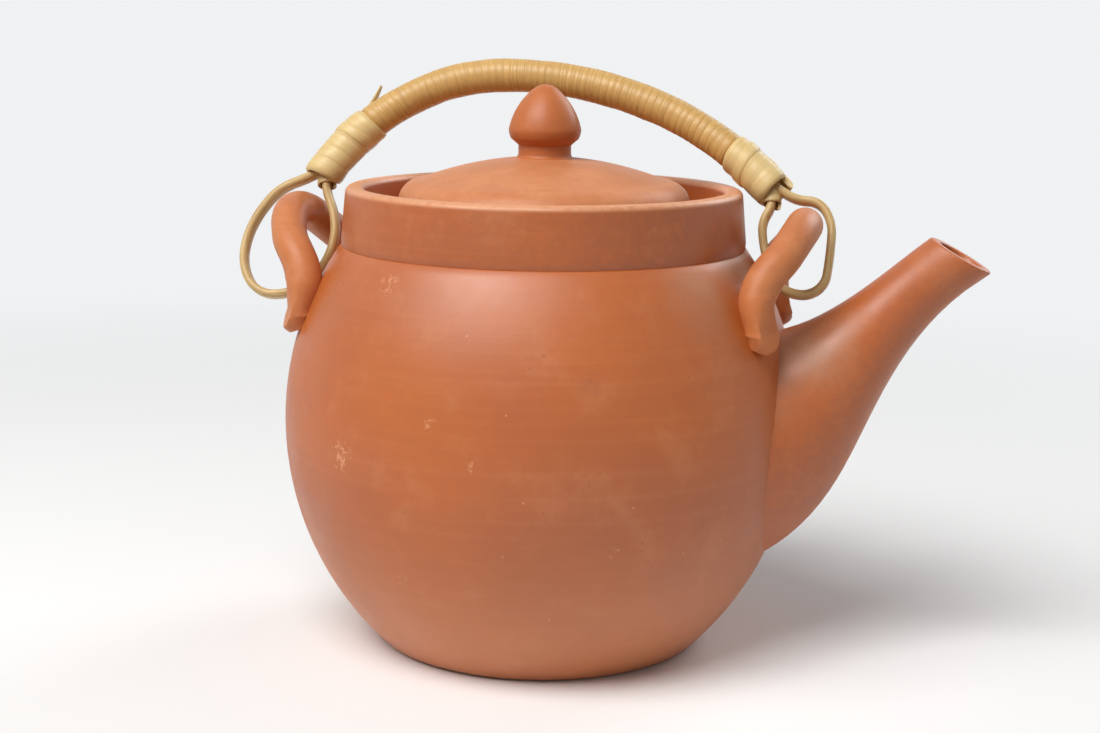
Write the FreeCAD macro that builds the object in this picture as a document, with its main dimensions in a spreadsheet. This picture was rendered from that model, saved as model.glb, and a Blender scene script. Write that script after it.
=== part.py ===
"""Clay teapot with a recessed domed lid and a wrapped cane bail.

Frame: millimetres, +Z up, origin at the middle of the base on the table, +X towards the spout.
"""
import FreeCAD, Part
import Sketcher
import math
import os

Vec = FreeCAD.Vector
TINY = 1e-7
doc = FreeCAD.newDocument("bail_teapot")

# Driving dimensions: name, value in millimetres or degrees, what it is
SIZES = [
    ("lower_inset", 19.2, "edge of the flat foot inside the widest body radius"),
    ("floor_thickness", 4.0, "clay under the tea"),
    ("belly_radius", 50.2, "widest radius of the body"),
    ("belly_height", 44.0, "height of the widest place"),
    ("wall", 3.5, "body wall"),
    ("shoulder_inset", 10.9, "line where the collar leaves the shoulder, inside the widest body radius"),
    ("shoulder_rise", 34.1, "that line above the widest place"),
    ("collar_taper", 0.9, "lip's outer radius inside the collar's foot"),
    ("collar_rise", 11.3, "lip above the collar's foot"),
    ("lip_round", 1.2, "rounding of the lip's two edges"),
    ("collar_wall", 3.6, "collar thickness at the lip"),
    ("seat_depth", 6.4, "lid seat below the lip"),
    ("seat_thickness", 4.0, "ledge that carries the lid"),
    ("seat_width", 9.0, "how far the ledge reaches in from the collar"),
    ("lid_gap", 6.5, "open ring between the lid and the collar"),
    ("lid_crown_height", 12.2, "crown of the lid above its seat"),
    ("lid_dome_radius", 66.0, "radius of the lid's flat dome"),
    ("lid_edge_round", 4.6, "round shoulder at the lid's edge"),
    ("lid_wall", 3.4, "lid thickness"),
    ("neck_depth", 6.0, "ring under the lid"),
    ("neck_wall", 2.8, "thickness of that ring"),
    ("lid_clearance", 0.6, "play between the ring and the seat"),
    ("vent_radius", 1.2, "vent hole in the lid"),
    ("vent_place", 15.0, "vent hole from the lid's axis"),
    ("knob_neck_radius", 5.1, "neck of the knob"),
    ("knob_neck_height", 2.4, "neck under the acorn"),
    ("knob_shelf", 1.0, "height of the acorn's sloping underside"),
    ("knob_shelf_radius", 6.5, "radius of the acorn's lower edge"),
    ("knob_low_round", 4.0, "rounding above that edge"),
    ("knob_radius", 7.0, "widest radius of the acorn"),
    ("knob_widest", 5.2, "height of the widest place above the crown"),
    ("knob_height", 13.8, "acorn tip above the crown"),
    ("knob_tip_radius", 1.1, "where the side meets the blunt tip"),
    ("knob_tip_drop", 0.55, "that place below the tip"),
    ("knob_side_radius", 16.0, "radius of the acorn's side"),
    ("spout_root_height", 42.6, "height of the spout's root"),
    ("spout_root_sink", 7.3, "root's middle inside the widest body radius"),
    ("spout_root_tall", 45.4, "height of the spout at its root"),
    ("spout_root_wide", 42.0, "width of the spout at its root"),
    ("spout_root_angle", 5.5, "slope of the root section"),
    ("spout_rise_angle", 34.0, "slope of the spout's line where it leaves the root"),
    ("spout_length", 29.4, "middle of the mouth beyond the widest body radius"),
    ("spout_tip_height", 79.1, "height of the middle of the mouth"),
    ("spout_tip_angle", 36.5, "slope of the spout at its mouth"),
    ("spout_tip_diameter", 11.8, "outer diameter at the mouth"),
    ("spout_mouth_angle", 61.0, "slope of the cut mouth's normal"),
    ("spout_wall", 2.0, "spout wall"),
    ("spout_flare", 2.43, "how quickly the spout swells to its root"),
    ("spout_turn", 7.0, "how quickly the sections turn from the root's slope to the mouth's"),
    ("pour_hole_radius", 6.0, "hole through the wall behind the spout"),
    ("pour_hole_drop", 11.0, "that hole below the widest place"),
    ("lug_thickness", 7.0, "diameter of the rolled clay lugs"),
    ("lug_overreach", 0.1, "middle of a lug's top beyond the widest body radius"),
    ("lug_rise", 5.3, "middle of a lug's top above the collar's foot"),
    ("lug_half_span", 17.4, "half of the spread between a lug's feet"),
    ("lug_foot_drop", 16.3, "where a lug's legs run into the body, below the collar's foot"),
    ("lug_foot_sink", 0.3, "how far the middle of a foot lies inside the body"),
    ("lug_lean", -9.0, "outward lean of a lug's legs at the feet"),
    ("lug_splay", 6.0, "inward lean of a lug's legs at the feet"),
    ("lug_knee_drop", 6.1, "knee of a lug's legs below the collar's foot"),
    ("lug_knee_out", 3.6, "knee of a lug's legs outside the body's skin"),
    ("lug_knee_inset", 0.8, "knee of a lug's legs nearer the middle than the foot"),
    ("lug_knee_lean_angle", 30.0, "outward lean of a lug's legs at the knee"),
    ("lug_knee_splay_angle", 19.0, "inward lean of a lug's legs at the knee"),
    ("pivot_drop", 11.4, "axis on which the bail swings, below the middle of a lug's top"),
    ("bail_lean", 25.0, "how far the bail leans back at rest"),
    ("crown_height", 41.9, "bail's highest place above the axis, along the bail"),
    ("crown_shift", 10.6, "highest place behind the pot's axis"),
    ("front_end_inset", 7.3, "spout-side end of the rod inside the lug's top"),
    ("front_end_rise", 19.6, "that end above the axis"),
    ("front_end_slope", 46.0, "downward slope of that end"),
    ("rear_end_inset", 3.7, "rear end of the rod inside the lug's top"),
    ("rear_end_rise", 20.6, "that end above the axis"),
    ("rear_end_slope", 60.0, "downward slope of that end"),
    ("rod_diameter", 5.0, "bare cane rod"),
    ("wrap_diameter", 0.8, "wrapping cane"),
    ("wrap_clearance", 0.1, "play between the rod and what is wound on it"),
    ("wrap_turns", 22, "turns of the grip wrap"),
    ("binding_diameter", 1.35, "binding cane"),
    ("binding_pitch", 2.0, "step from turn to turn in a binding"),
    ("front_binding_turns", 5, "turns of the spout-side binding"),
    ("rear_binding_turns", 7, "turns of the rear binding"),
    ("binding_overhang", 0.7, "length of a binding beyond the rod's end"),
    ("strip_thickness", 1.3, "cane strip of the loops"),
    ("strip_width", 2.8, "width of that strip"),
    ("strip_gap", 0.2, "between the strip's two ends at the rod"),
    ("loop_clearance", 0.5, "room between a loop and its lug"),
    ("splay_radius", 2.9, "bend of a loop's strands where they leave a binding"),
    ("front_outer_splay", 8.0, "turn of the spout-side loop's outer strand there"),
    ("front_inner_splay", 25.0, "turn of its inner strand"),
    ("rear_outer_splay", 28.0, "turn of the rear loop's outer strand there"),
    ("rear_inner_splay", 25.0, "turn of its inner strand"),
    ("front_loop_lift", 1.0, "extra room between the spout-side loop and the top of its lug"),
    ("front_loop_slack", 0.3, "extra room between that loop and the outside of its lug"),
    ("front_loop_drop", 1.0, "that loop's upright places below the middle of the lug"),
    ("front_loop_hang", 1.8, "that loop's lowest place below the axis"),
    ("front_loop_inset", 3.6, "extra room between that loop and the inside of its lug"),
    ("front_loop_inner_angle", 97.0, "slope of that loop's inner strand"),
    ("rear_loop_shoulder_out", 7.1, "where the rear loop's outer strand bends down, outside the lug's top"),
    ("rear_loop_shoulder_rise", 14.2, "that place above the axis"),
    ("rear_loop_shoulder_angle", 232.0, "slope of the strand there"),
    ("rear_loop_out", 11.4, "widest place of the rear loop outside the lug's top"),
    ("rear_loop_widest", 2.5, "that place above the axis"),
    ("rear_loop_bottom_out", 4.3, "lowest place of the rear loop outside the lug's top"),
    ("rear_loop_hang", 6.2, "that place below the swing axis"),
    ("rear_loop_inset", 2.15, "extra room between the rear loop and the inside of its lug"),
    ("rear_loop_drop", 2.4, "that loop's inner strand is upright this far below the middle of the lug"),
    ("rear_loop_inner_angle", 100.0, "slope of the inner strand there"),
    ("tail_room", 2.2, "bare rod between the rear binding and the grip wrap, where the tail leaves"),
    ("tail_lift", 30.0, "angle at which the tail stands off the rod"),
    ("tail_length", 7.5, "pointed end of the wrapping strip"),
    ("tail_width", 2.4, "width of that strip"),
    ("tail_thickness", 1.0, "thickness of that strip at its root"),
    ("tail_point", 0.4, "thickness and width at its point"),
]

# Sizes worked out from the driving ones
WORKED_OUT = [
    ("base_radius", "belly_radius - lower_inset"),
    ("lower_sweep", "(belly_height^2 + lower_inset^2) / (2 * lower_inset)"),
    ("collar_foot_radius", "belly_radius - shoulder_inset"),
    ("collar_foot_height", "belly_height + shoulder_rise"),
    ("lip_radius", "collar_foot_radius - collar_taper"),
    ("lip_height", "collar_foot_height + collar_rise"),
    ("upper_sweep", "(shoulder_rise^2 + shoulder_inset^2) / (2 * shoulder_inset)"),
    ("lower_sweep_in", "lower_sweep - wall"),
    ("upper_sweep_in", "upper_sweep - wall"),
    ("belly_bore", "belly_radius - wall"),
    ("neck_bore", "belly_radius - upper_sweep + sqrt(upper_sweep_in^2 - shoulder_rise^2)"),
    ("base_inner_radius", "belly_radius - lower_sweep + sqrt(lower_sweep_in^2 - belly_height^2)"),
    ("floor_radius",
     "belly_radius - lower_sweep + sqrt(lower_sweep_in^2 - (belly_height - floor_thickness)^2)"),
    ("collar_bore", "lip_radius - collar_wall"),
    ("lid_radius", "collar_bore - lid_gap"),
    ("lip_edge_out", "lip_radius - lip_round"),
    ("lip_edge_in", "collar_bore + lip_round"),
    ("lip_shoulder", "lip_height - lip_round"),
    ("seat_height", "lip_height - seat_depth"),
    ("seat_under", "seat_height - seat_thickness"),
    ("seat_bore", "collar_bore - seat_width"),
    ("crown_top", "seat_height + lid_crown_height"),
    ("lid_shoulder_in", "lid_radius - lid_edge_round"),
    ("lid_shoulder_top",
     "crown_top - lid_dome_radius + sqrt(lid_dome_radius^2 - lid_shoulder_in^2)"),
    ("lid_edge_top", "lid_shoulder_top - lid_edge_round"),
    ("lid_under", "crown_top - lid_wall"),
    ("lid_dome_in", "lid_dome_radius - lid_wall"),
    ("neck_radius", "seat_bore - lid_clearance"),
    ("neck_inner", "neck_radius - neck_wall"),
    ("neck_foot", "seat_height - neck_depth"),
    ("lid_under_edge", "crown_top - lid_dome_radius + sqrt(lid_dome_in^2 - neck_inner^2)"),
    ("knob_seat",
     "crown_top - lid_dome_radius + sqrt(lid_dome_radius^2 - knob_neck_radius^2)"),
    ("knob_neck_top", "crown_top + knob_neck_height"),
    ("knob_shelf_top", "knob_neck_top + knob_shelf"),
    ("knob_widest_height", "crown_top + knob_widest"),
    ("knob_tip", "crown_top + knob_height"),
    ("knob_tip_side", "knob_tip - knob_tip_drop"),
    ("spout_tip_reach", "belly_radius + spout_length"),
    ("lug_top_reach", "belly_radius + lug_overreach"),
    ("lug_top_height", "collar_foot_height + lug_rise"),
    ("lug_foot_height", "collar_foot_height - lug_foot_drop"),
    ("lug_knee_height", "collar_foot_height - lug_knee_drop"),
    ("lug_knee_span", "lug_half_span - lug_knee_inset"),
    ("pivot_height", "lug_top_height - pivot_drop"),
    ("front_end_reach", "lug_top_reach - front_end_inset"),
    ("rear_end_reach", "lug_top_reach - rear_end_inset"),
    ("knob_tip_round", "(knob_tip_radius^2 + knob_tip_drop^2) / (2 * knob_tip_drop)"),
]

sheet = doc.addObject("Spreadsheet::Sheet", "Sizes")
for row, (alias, value, meaning) in enumerate(SIZES, start=1):
    sheet.set("A%d" % row, meaning)
    sheet.set("B%d" % row, str(value))
    sheet.setAlias("B%d" % row, alias)
for row, (alias, formula) in enumerate(WORKED_OUT, start=len(SIZES) + 1):
    sheet.set("A%d" % row, "worked out")
    sheet.set("B%d" % row, "=" + formula)
    sheet.setAlias("B%d" % row, alias)
doc.recompute()


def size(alias):
    return float(sheet.get(alias))


def origin_plane(body, role):
    return next(f for f in body.Origin.OriginFeatures if f.Role == role)


def arc_middle(start, end, radius, turn):
    """Centre of the arc under half a circle from start to end, turning left for +1 and right for -1."""
    chord = end - start
    half = chord.Length / 2
    side = Vec(-chord.y, chord.x, 0).normalize()
    return (start + end) * 0.5 + side * (turn * math.sqrt(radius * radius - half * half))


def outline(body, name, corners, plane="XZ_Plane"):
    """Closed outline in a sketch of the body.

    Each corner is (x, y, bend): x and y are sizes, or 0 on an axis, and bend is 0 for a straight edge
    to the next corner or (radius, turn) for an arc.
    """
    sketch = body.newObject("Sketcher::SketchObject", name)
    sketch.AttachmentSupport = [(origin_plane(body, plane), "")]
    sketch.MapMode = "FlatFace"
    places = [Vec(size(x) if x else 0.0, size(y) if y else 0.0, 0) for x, y, bend in corners]
    starts = []
    ends = []
    for i, (x, y, bend) in enumerate(corners):
        here = places[i]
        there = places[(i + 1) % len(corners)]
        if not bend:
            geo = sketch.addGeometry(Part.LineSegment(here, there), False)
            starts.append((geo, 1))
            ends.append((geo, 2))
            continue
        radius, turn = bend
        middle = arc_middle(here, there, size(radius), turn)
        first, last = (here, there) if turn > 0 else (there, here)
        angles = [math.atan2(p.y - middle.y, p.x - middle.x) for p in (first, last)]
        if angles[1] < angles[0]:
            angles[1] += 2 * math.pi
        circle = Part.Circle(middle, Vec(0, 0, 1), size(radius))
        geo = sketch.addGeometry(Part.ArcOfCircle(circle, *angles), False)
        starts.append((geo, 1 if turn > 0 else 2))
        ends.append((geo, 2 if turn > 0 else 1))
        held = sketch.addConstraint(Sketcher.Constraint("Radius", geo, size(radius)))
        sketch.setExpression("Constraints[%d]" % held, "Sizes." + radius)
    for i in range(len(corners)):
        sketch.addConstraint(Sketcher.Constraint("Coincident", *ends[i - 1], *starts[i]))
    for (x, y, bend), start, place in zip(corners, starts, places):
        if x:
            held = sketch.addConstraint(Sketcher.Constraint("DistanceX", -1, 1, *start, place.x))
            sketch.setExpression("Constraints[%d]" % held, "Sizes." + x)
        else:
            sketch.addConstraint(Sketcher.Constraint("PointOnObject", *start, -2))
        if y:
            held = sketch.addConstraint(Sketcher.Constraint("DistanceY", -1, 1, *start, place.y))
            sketch.setExpression("Constraints[%d]" % held, "Sizes." + y)
        else:
            sketch.addConstraint(Sketcher.Constraint("PointOnObject", *start, -1))
    return sketch


def turned(label, corners):
    """A piece turned about the pot's axis."""
    body = doc.addObject("PartDesign::Body", label)
    sketch = outline(body, label + "_outline", corners)
    solid = body.newObject("PartDesign::Revolution", label + "_turn")
    solid.Profile = sketch
    solid.ReferenceAxis = (sketch, ["V_Axis"])
    solid.Angle = 360
    body.Tip = solid
    doc.recompute()
    return body


def bore(body, name, holes, plane, reach, away):
    """Round holes through one side of a piece; each hole is (x expression, y expression, radius size)."""
    sketch = body.newObject("Sketcher::SketchObject", name + "_marks")
    sketch.AttachmentSupport = [(origin_plane(body, plane), "")]
    sketch.MapMode = "FlatFace"
    for across, up, radius in holes:
        geo = sketch.addGeometry(Part.Circle(Vec(1, 1, 0), Vec(0, 0, 1), size(radius)), False)
        kinds = (("Radius", (geo,), size(radius), "Sizes." + radius),
                 ("DistanceX", (-1, 1, geo, 3), 1.0, across),
                 ("DistanceY", (-1, 1, geo, 3), 1.0, up))
        for kind, where, start, expression in kinds:
            held = sketch.addConstraint(Sketcher.Constraint(kind, *where, start))
            sketch.setExpression("Constraints[%d]" % held, expression)
    doc.recompute()
    before = body.Shape.Volume
    cut = body.newObject("PartDesign::Pocket", name)
    cut.Profile = sketch
    cut.Reversed = away
    cut.setExpression("Length", reach)
    body.Tip = cut
    doc.recompute()
    if body.Shape.Volume > before - TINY:
        raise RuntimeError(name + " cuts nothing")


# Clay body: a floor disc and two halves, luted together where they meet upright at the belly
base_disc = turned("base_disc", [
    (0, 0, 0),
    ("base_inner_radius", 0, ("lower_sweep_in", 1)),
    ("floor_radius", "floor_thickness", 0),
    (0, "floor_thickness", 0),
])
lower_body = turned("lower_body", [
    ("base_inner_radius", 0, 0),
    ("base_radius", 0, ("lower_sweep", 1)),
    ("belly_radius", "belly_height", 0),
    ("belly_bore", "belly_height", ("lower_sweep_in", -1)),
])
bore(lower_body, "pour_hole", [("0", "Sizes.belly_height - Sizes.pour_hole_drop", "pour_hole_radius")],
     "YZ_Plane", "Sizes.belly_radius", True)
upper_body = turned("upper_body", [
    ("belly_bore", "belly_height", 0),
    ("belly_radius", "belly_height", ("upper_sweep", 1)),
    ("collar_foot_radius", "collar_foot_height", 0),
    ("neck_bore", "collar_foot_height", ("upper_sweep_in", -1)),
])

collar = turned("collar", [
    ("collar_bore", "collar_foot_height", 0),
    ("collar_foot_radius", "collar_foot_height", 0),
    ("lip_radius", "lip_shoulder", ("lip_round", 1)),
    ("lip_edge_out", "lip_height", 0),
    ("lip_edge_in", "lip_height", ("lip_round", 1)),
    ("collar_bore", "lip_shoulder", 0),
])

lid_seat_ring = turned("lid_seat_ring", [
    ("seat_bore", "seat_under", 0),
    ("collar_bore", "seat_under", 0),
    ("collar_bore", "seat_height", 0),
    ("seat_bore", "seat_height", 0),
])

# Lid: flat dome with a round shoulder, standing on the seat
lid_dome = turned("lid_dome", [
    ("neck_inner", "seat_height", 0),
    ("lid_radius", "seat_height", 0),
    ("lid_radius", "lid_edge_top", ("lid_edge_round", 1)),
    ("lid_shoulder_in", "lid_shoulder_top", ("lid_dome_radius", 1)),
    (0, "crown_top", 0),
    (0, "lid_under", ("lid_dome_in", -1)),
    ("neck_inner", "lid_under_edge", 0),
])
bore(lid_dome, "vent_hole", [("0", "Sizes.vent_place", "vent_radius")], "XY_Plane",
     "Sizes.crown_top + Sizes.lid_wall", True)

lid_neck_ring = turned("lid_neck_ring", [
    ("neck_inner", "neck_foot", 0),
    ("neck_radius", "neck_foot", 0),
    ("neck_radius", "seat_height", 0),
    ("neck_inner", "seat_height", 0),
])

knob = turned("knob", [
    (0, "crown_top", ("lid_dome_radius", -1)),
    ("knob_neck_radius", "knob_seat", 0),
    ("knob_neck_radius", "knob_neck_top", 0),
    ("knob_shelf_radius", "knob_shelf_top", ("knob_low_round", 1)),
    ("knob_radius", "knob_widest_height", ("knob_side_radius", 1)),
    ("knob_tip_radius", "knob_tip_side", ("knob_tip_round", 1)),
    (0, "knob_tip", 0),
])


def add_piece(label, shape):
    """A piece whose shape is worked out here, under its own label."""
    piece = doc.addObject("Part::Feature", label)
    piece.Shape = shape
    piece.Placement = FreeCAD.Placement()
    return piece


def flat_arc(start, end, radius):
    """Arc in the XZ plane that bulges away from the pot's axis."""
    a = Vec(start[0], start[1], 0)
    b = Vec(end[0], end[1], 0)
    middle = arc_middle(a, b, radius, 1)
    out = ((a + b) * 0.5 - middle).normalize()
    top = middle + out * radius
    return Part.Arc(*(Vec(p.x, 0, p.y) for p in (a, top, b))).toShape()


def belly_envelope():
    """The body's outer form as one full solid, which trims what is luted on to it."""
    foot = (size("base_radius"), 0.0)
    belly = (size("belly_radius"), size("belly_height"))
    top = (size("collar_foot_radius"), size("collar_foot_height"))
    edges = [
        Part.LineSegment(Vec(0, 0, 0), Vec(foot[0], 0, 0)).toShape(),
        flat_arc(foot, belly, size("lower_sweep")),
        flat_arc(belly, top, size("upper_sweep")),
        Part.LineSegment(Vec(top[0], 0, top[1]), Vec(0, 0, top[1])).toShape(),
        Part.LineSegment(Vec(0, 0, top[1]), Vec(0, 0, 0)).toShape(),
    ]
    face = Part.Face(Part.Wire(edges))
    return face.revolve(Vec(0, 0, 0), Vec(0, 0, 1), 360)


def arc_through(start, corner, end):
    """Arc that leaves start towards corner and arrives at end from corner."""
    middle = (start + end) * 0.5
    half = (end - start).Length / 2
    lean = corner - middle
    if lean.Length < TINY:
        return Part.LineSegment(start, end).toShape()
    slope = math.atan2(lean.Length, half)
    top = middle + lean.normalize() * (half * math.tan(slope / 2))
    return Part.Arc(start, top, end).toShape()


def biarc(start, start_way, end, end_way):
    """Two arcs from start to end that keep both directions and share one where they meet."""
    gap = end - start
    ways = start_way + end_way
    along = gap.dot(ways)
    spread = 2 * (1 - start_way.dot(end_way))
    if spread < TINY:
        arm = gap.dot(gap) / (4 * gap.dot(end_way))
    else:
        arm = (math.sqrt(along * along + spread * gap.dot(gap)) - along) / spread
    first = start + start_way * arm
    last = end - end_way * arm
    meet = (first + last) * 0.5
    return [arc_through(start, first, meet), arc_through(meet, last, end)]


def smooth_path(stations):
    """One wire of arcs through (place, direction) stations."""
    edges = []
    for (start, start_way), (end, end_way) in zip(stations, stations[1:]):
        edges += biarc(start, start_way, end, end_way)
    return Part.Wire(edges)


def tube(path, radius, start, way):
    """Round tube along a path of arcs."""
    ring = Part.Wire([Part.Circle(start, way, radius).toShape()])
    return path.makePipeShell([ring], True, False)


envelope = belly_envelope()

# Spout: oval sections that shrink and turn from the root to the mouth
SPOUT_STATIONS = 9
OVAL_POINTS = 12


def oval(place, up, across):
    """Closed oval with its half axes up and across."""
    turns = [2 * math.pi * i / OVAL_POINTS for i in range(OVAL_POINTS)]
    curve = Part.BSplineCurve()
    curve.interpolate([place + up * math.cos(t) + across * math.sin(t) for t in turns], PeriodicFlag=True)
    return Part.Wire([curve.toShape()])


def spout_form(inset, overrun):
    """Full form of the spout, inset all round, running on past the mouth by overrun."""
    root = Vec(size("belly_radius") - size("spout_root_sink"), 0, size("spout_root_height"))
    tip = Vec(size("spout_tip_reach"), 0, size("spout_tip_height"))
    rise = math.radians(size("spout_rise_angle"))
    tip_angle = math.radians(size("spout_tip_angle"))
    root_angle = math.radians(size("spout_root_angle"))
    tip_way = Vec(math.cos(tip_angle), 0, math.sin(tip_angle))
    line = smooth_path([(root, Vec(math.cos(rise), 0, math.sin(rise))), (tip, tip_way)])
    places = line.discretize(Number=SPOUT_STATIONS) + [tip + tip_way * overrun]
    tip_size = size("spout_tip_diameter")
    rings = []
    for i, place in enumerate(places):
        left = max(0.0, 1 - i / (SPOUT_STATIONS - 1))
        swell = left ** size("spout_flare")
        tall = tip_size + (size("spout_root_tall") - tip_size) * swell
        wide = tip_size + (size("spout_root_wide") - tip_size) * swell
        angle = tip_angle + (root_angle - tip_angle) * left ** size("spout_turn")
        up = Vec(-math.sin(angle), 0, math.cos(angle)) * (tall / 2 - inset)
        rings.append(oval(place, up, Vec(0, wide / 2 - inset, 0)))
    return Part.makeLoft(rings, True, False)


def spout_shape():
    """Hollow spout, cut slanting at the mouth and trimmed to sit on the body."""
    mouth = math.radians(size("spout_mouth_angle"))
    tip = Vec(size("spout_tip_reach"), 0, size("spout_tip_height"))
    across_mouth = size("spout_tip_diameter")
    beyond = Part.makeCylinder(2 * across_mouth, 2 * across_mouth, tip,
                               Vec(math.cos(mouth), 0, math.sin(mouth)))
    outside = spout_form(0.0, across_mouth / 2).cut(beyond).cut(envelope)
    return outside.cut(spout_form(size("spout_wall"), across_mouth))


add_piece("spout", spout_shape())


def shoulder_radius(height):
    """Outer radius of the body above its widest place."""
    sweep = size("upper_sweep")
    return size("belly_radius") - sweep + math.sqrt(sweep ** 2 - (height - size("belly_height")) ** 2)


def leg_way(side, lean, splay):
    """Direction up a lug's near leg that leans outwards and inwards by two slopes."""
    return Vec(side * math.tan(math.radians(lean)), math.tan(math.radians(splay)), 1).normalize()


def lug_shape(side):
    """Rolled clay arch with a knee in each leg, luted to the shoulder, on the spout's side for +1."""
    span = size("lug_half_span")
    foot_height = size("lug_foot_height")
    foot_reach = math.sqrt(shoulder_radius(foot_height) ** 2 - span ** 2) - size("lug_foot_sink")
    knee_span = size("lug_knee_span")
    knee_height = size("lug_knee_height")
    knee_reach = math.sqrt(shoulder_radius(knee_height) ** 2 - knee_span ** 2) + size("lug_knee_out")
    near_leg = [
        (Vec(side * foot_reach, -span, foot_height), leg_way(side, size("lug_lean"), size("lug_splay"))),
        (Vec(side * knee_reach, -knee_span, knee_height),
         leg_way(side, size("lug_knee_lean_angle"), size("lug_knee_splay_angle"))),
    ]
    top = (Vec(side * size("lug_top_reach"), 0, size("lug_top_height")), Vec(0, 1, 0))
    far_leg = [(Vec(place.x, -place.y, place.z), Vec(-way.x, way.y, -way.z))
               for place, way in reversed(near_leg)]
    path = smooth_path(near_leg + [top] + far_leg)
    return tube(path, size("lug_thickness") / 2, *near_leg[0]).cut(envelope)


add_piece("spout_side_lug", lug_shape(1))
add_piece("rear_lug", lug_shape(-1))

# Bail: everything lies in one plane through the swing axis, leaning back by bail_lean
lean_angle = math.radians(size("bail_lean"))
BAIL_UP = Vec(0, math.sin(lean_angle), math.cos(lean_angle))
BAIL_ACROSS = Vec(0, math.cos(lean_angle), -math.sin(lean_angle))
BAIL_ALONG = Vec(1, 0, 0)


def on_bail(along, up):
    """A place in the bail's plane, along +X and up from the swing axis."""
    return Vec(along, 0, size("pivot_height")) + BAIL_UP * up


def heading(degrees):
    """A direction in the bail's plane: 0 is +X, 90 is up along the bail."""
    angle = math.radians(degrees)
    return BAIL_ALONG * math.cos(angle) + BAIL_UP * math.sin(angle)


rear_end = on_bail(-size("rear_end_reach"), size("rear_end_rise"))
front_end = on_bail(size("front_end_reach"), size("front_end_rise"))
rear_way = heading(size("rear_end_slope"))
front_way = heading(-size("front_end_slope"))
rod_path = smooth_path([(rear_end, rear_way),
                        (on_bail(-size("crown_shift"), size("crown_height")), BAIL_ALONG),
                        (front_end, front_way)])
add_piece("core_rod", tube(rod_path, size("rod_diameter") / 2, rear_end, rear_way))


def rod_line(distance):
    """Place and direction on the rod's middle line, straight on beyond either end."""
    total = rod_path.Length
    if distance <= 0:
        return rear_end + rear_way * distance, rear_way
    if distance >= total:
        return front_end + front_way * (distance - total), front_way
    for edge in rod_path.OrderedEdges:
        if distance <= edge.Length:
            break
        distance -= edge.Length
    curve = edge.Curve
    step = (edge.LastParameter - edge.FirstParameter) * distance / edge.Length
    where = edge.FirstParameter + step
    if edge.Orientation == "Reversed":
        where = edge.LastParameter - step
    way = curve.tangent(where)[0]
    if edge.Orientation == "Reversed":
        way = way * -1
    return curve.value(where), way


def winding_place(start, pitch, radius, turns):
    """Place on a winding round the rod after so many turns."""
    middle, way = rod_line(start + pitch * turns)
    side = BAIL_ACROSS.cross(way)
    angle = 2 * math.pi * turns
    return middle + (side * math.cos(angle) + BAIL_ACROSS * math.sin(angle)) * radius


QUARTERS = 4
SMALL_TURN = 1e-3
POINTS_PER_TURN = 32
POINTS_APART = 20


def winding(label, start, length, turns, diameter):
    """One unbroken cane wound round the rod, with a straight run of one diameter at both ends."""
    pitch = length / turns
    radius = size("rod_diameter") / 2 + size("wrap_clearance") + diameter / 2
    stations = []
    for i in range(QUARTERS * turns + 1):
        part = i / QUARTERS
        ahead = winding_place(start, pitch, radius, part + SMALL_TURN)
        behind = winding_place(start, pitch, radius, part - SMALL_TURN)
        way = (ahead - behind).normalize()
        stations.append((winding_place(start, pitch, radius, part), way))
    first, first_way = stations[0]
    last, last_way = stations[-1]
    begin = first - first_way * diameter
    edges = [Part.LineSegment(begin, first).toShape()]
    edges += smooth_path(stations).OrderedEdges
    edges.append(Part.LineSegment(last, last + last_way * diameter).toShape())
    path = Part.Wire(edges)
    shape = tube(path, diameter / 2, begin, first_way)
    points = path.discretize(Number=POINTS_PER_TURN * turns)
    apart = [(a - b).Length for i, a in enumerate(points) for b in points[i + POINTS_APART:]]
    print("%s: %d turns, %.1f mm of cane, least gap to itself %.2f mm"
          % (label, turns, path.Length, min(apart) - diameter))
    add_piece(label, shape)


overhang = size("binding_overhang")
front_binding = size("binding_pitch") * size("front_binding_turns")
rear_binding = size("binding_pitch") * size("rear_binding_turns")
wrap_margin = size("binding_diameter") + size("wrap_diameter")
tail_from = rear_binding - overhang + size("binding_diameter") + size("wrap_clearance")
wrap_from = tail_from + size("tail_room") + size("wrap_diameter")
wrap_to = rod_path.Length - (front_binding - overhang) - wrap_margin
winding("rear_binding", -overhang, rear_binding, int(size("rear_binding_turns")), size("binding_diameter"))
winding("spout_side_binding", rod_path.Length + overhang - front_binding, front_binding,
        int(size("front_binding_turns")), size("binding_diameter"))
winding("grip_wrap", wrap_from, wrap_to - wrap_from, int(size("wrap_turns")), size("wrap_diameter"))


def strip(label, stations):
    """Flat cane strip along a path in the bail's plane."""
    start, way = stations[0]
    thin = BAIL_ACROSS.cross(way) * (size("strip_thickness") / 2)
    broad = BAIL_ACROSS * (size("strip_width") / 2)
    corners = [start + thin + broad, start - thin + broad, start - thin - broad, start + thin - broad]
    ring = Part.makePolygon(corners + corners[:1])
    add_piece(label, smooth_path(stations).makePipeShell([ring], True, False))


# Loops: from the rod's end down outside the lug, back through it and up to the rod's end
lug_rise = size("pivot_drop")
lug_reach = size("lug_top_reach")
clear = size("lug_thickness") / 2 + size("loop_clearance") + size("strip_thickness") / 2
ply = (size("strip_thickness") + size("strip_gap")) / 2


def strand_start(place, way, hand, splay):
    """First bend of a strand at the rod's end: hand is +1 away from the pot and -1 towards it."""
    side = BAIL_ACROSS.cross(way)
    if side.dot(BAIL_UP) < 0:
        side = side * -1
    side = side * hand
    turn = math.radians(size(splay))
    root = place + side * ply
    bend = way * math.sin(turn) + side * (1 - math.cos(turn))
    return [(root, way), (root + bend * size("splay_radius"), way * math.cos(turn) + side * math.sin(turn))]


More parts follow.
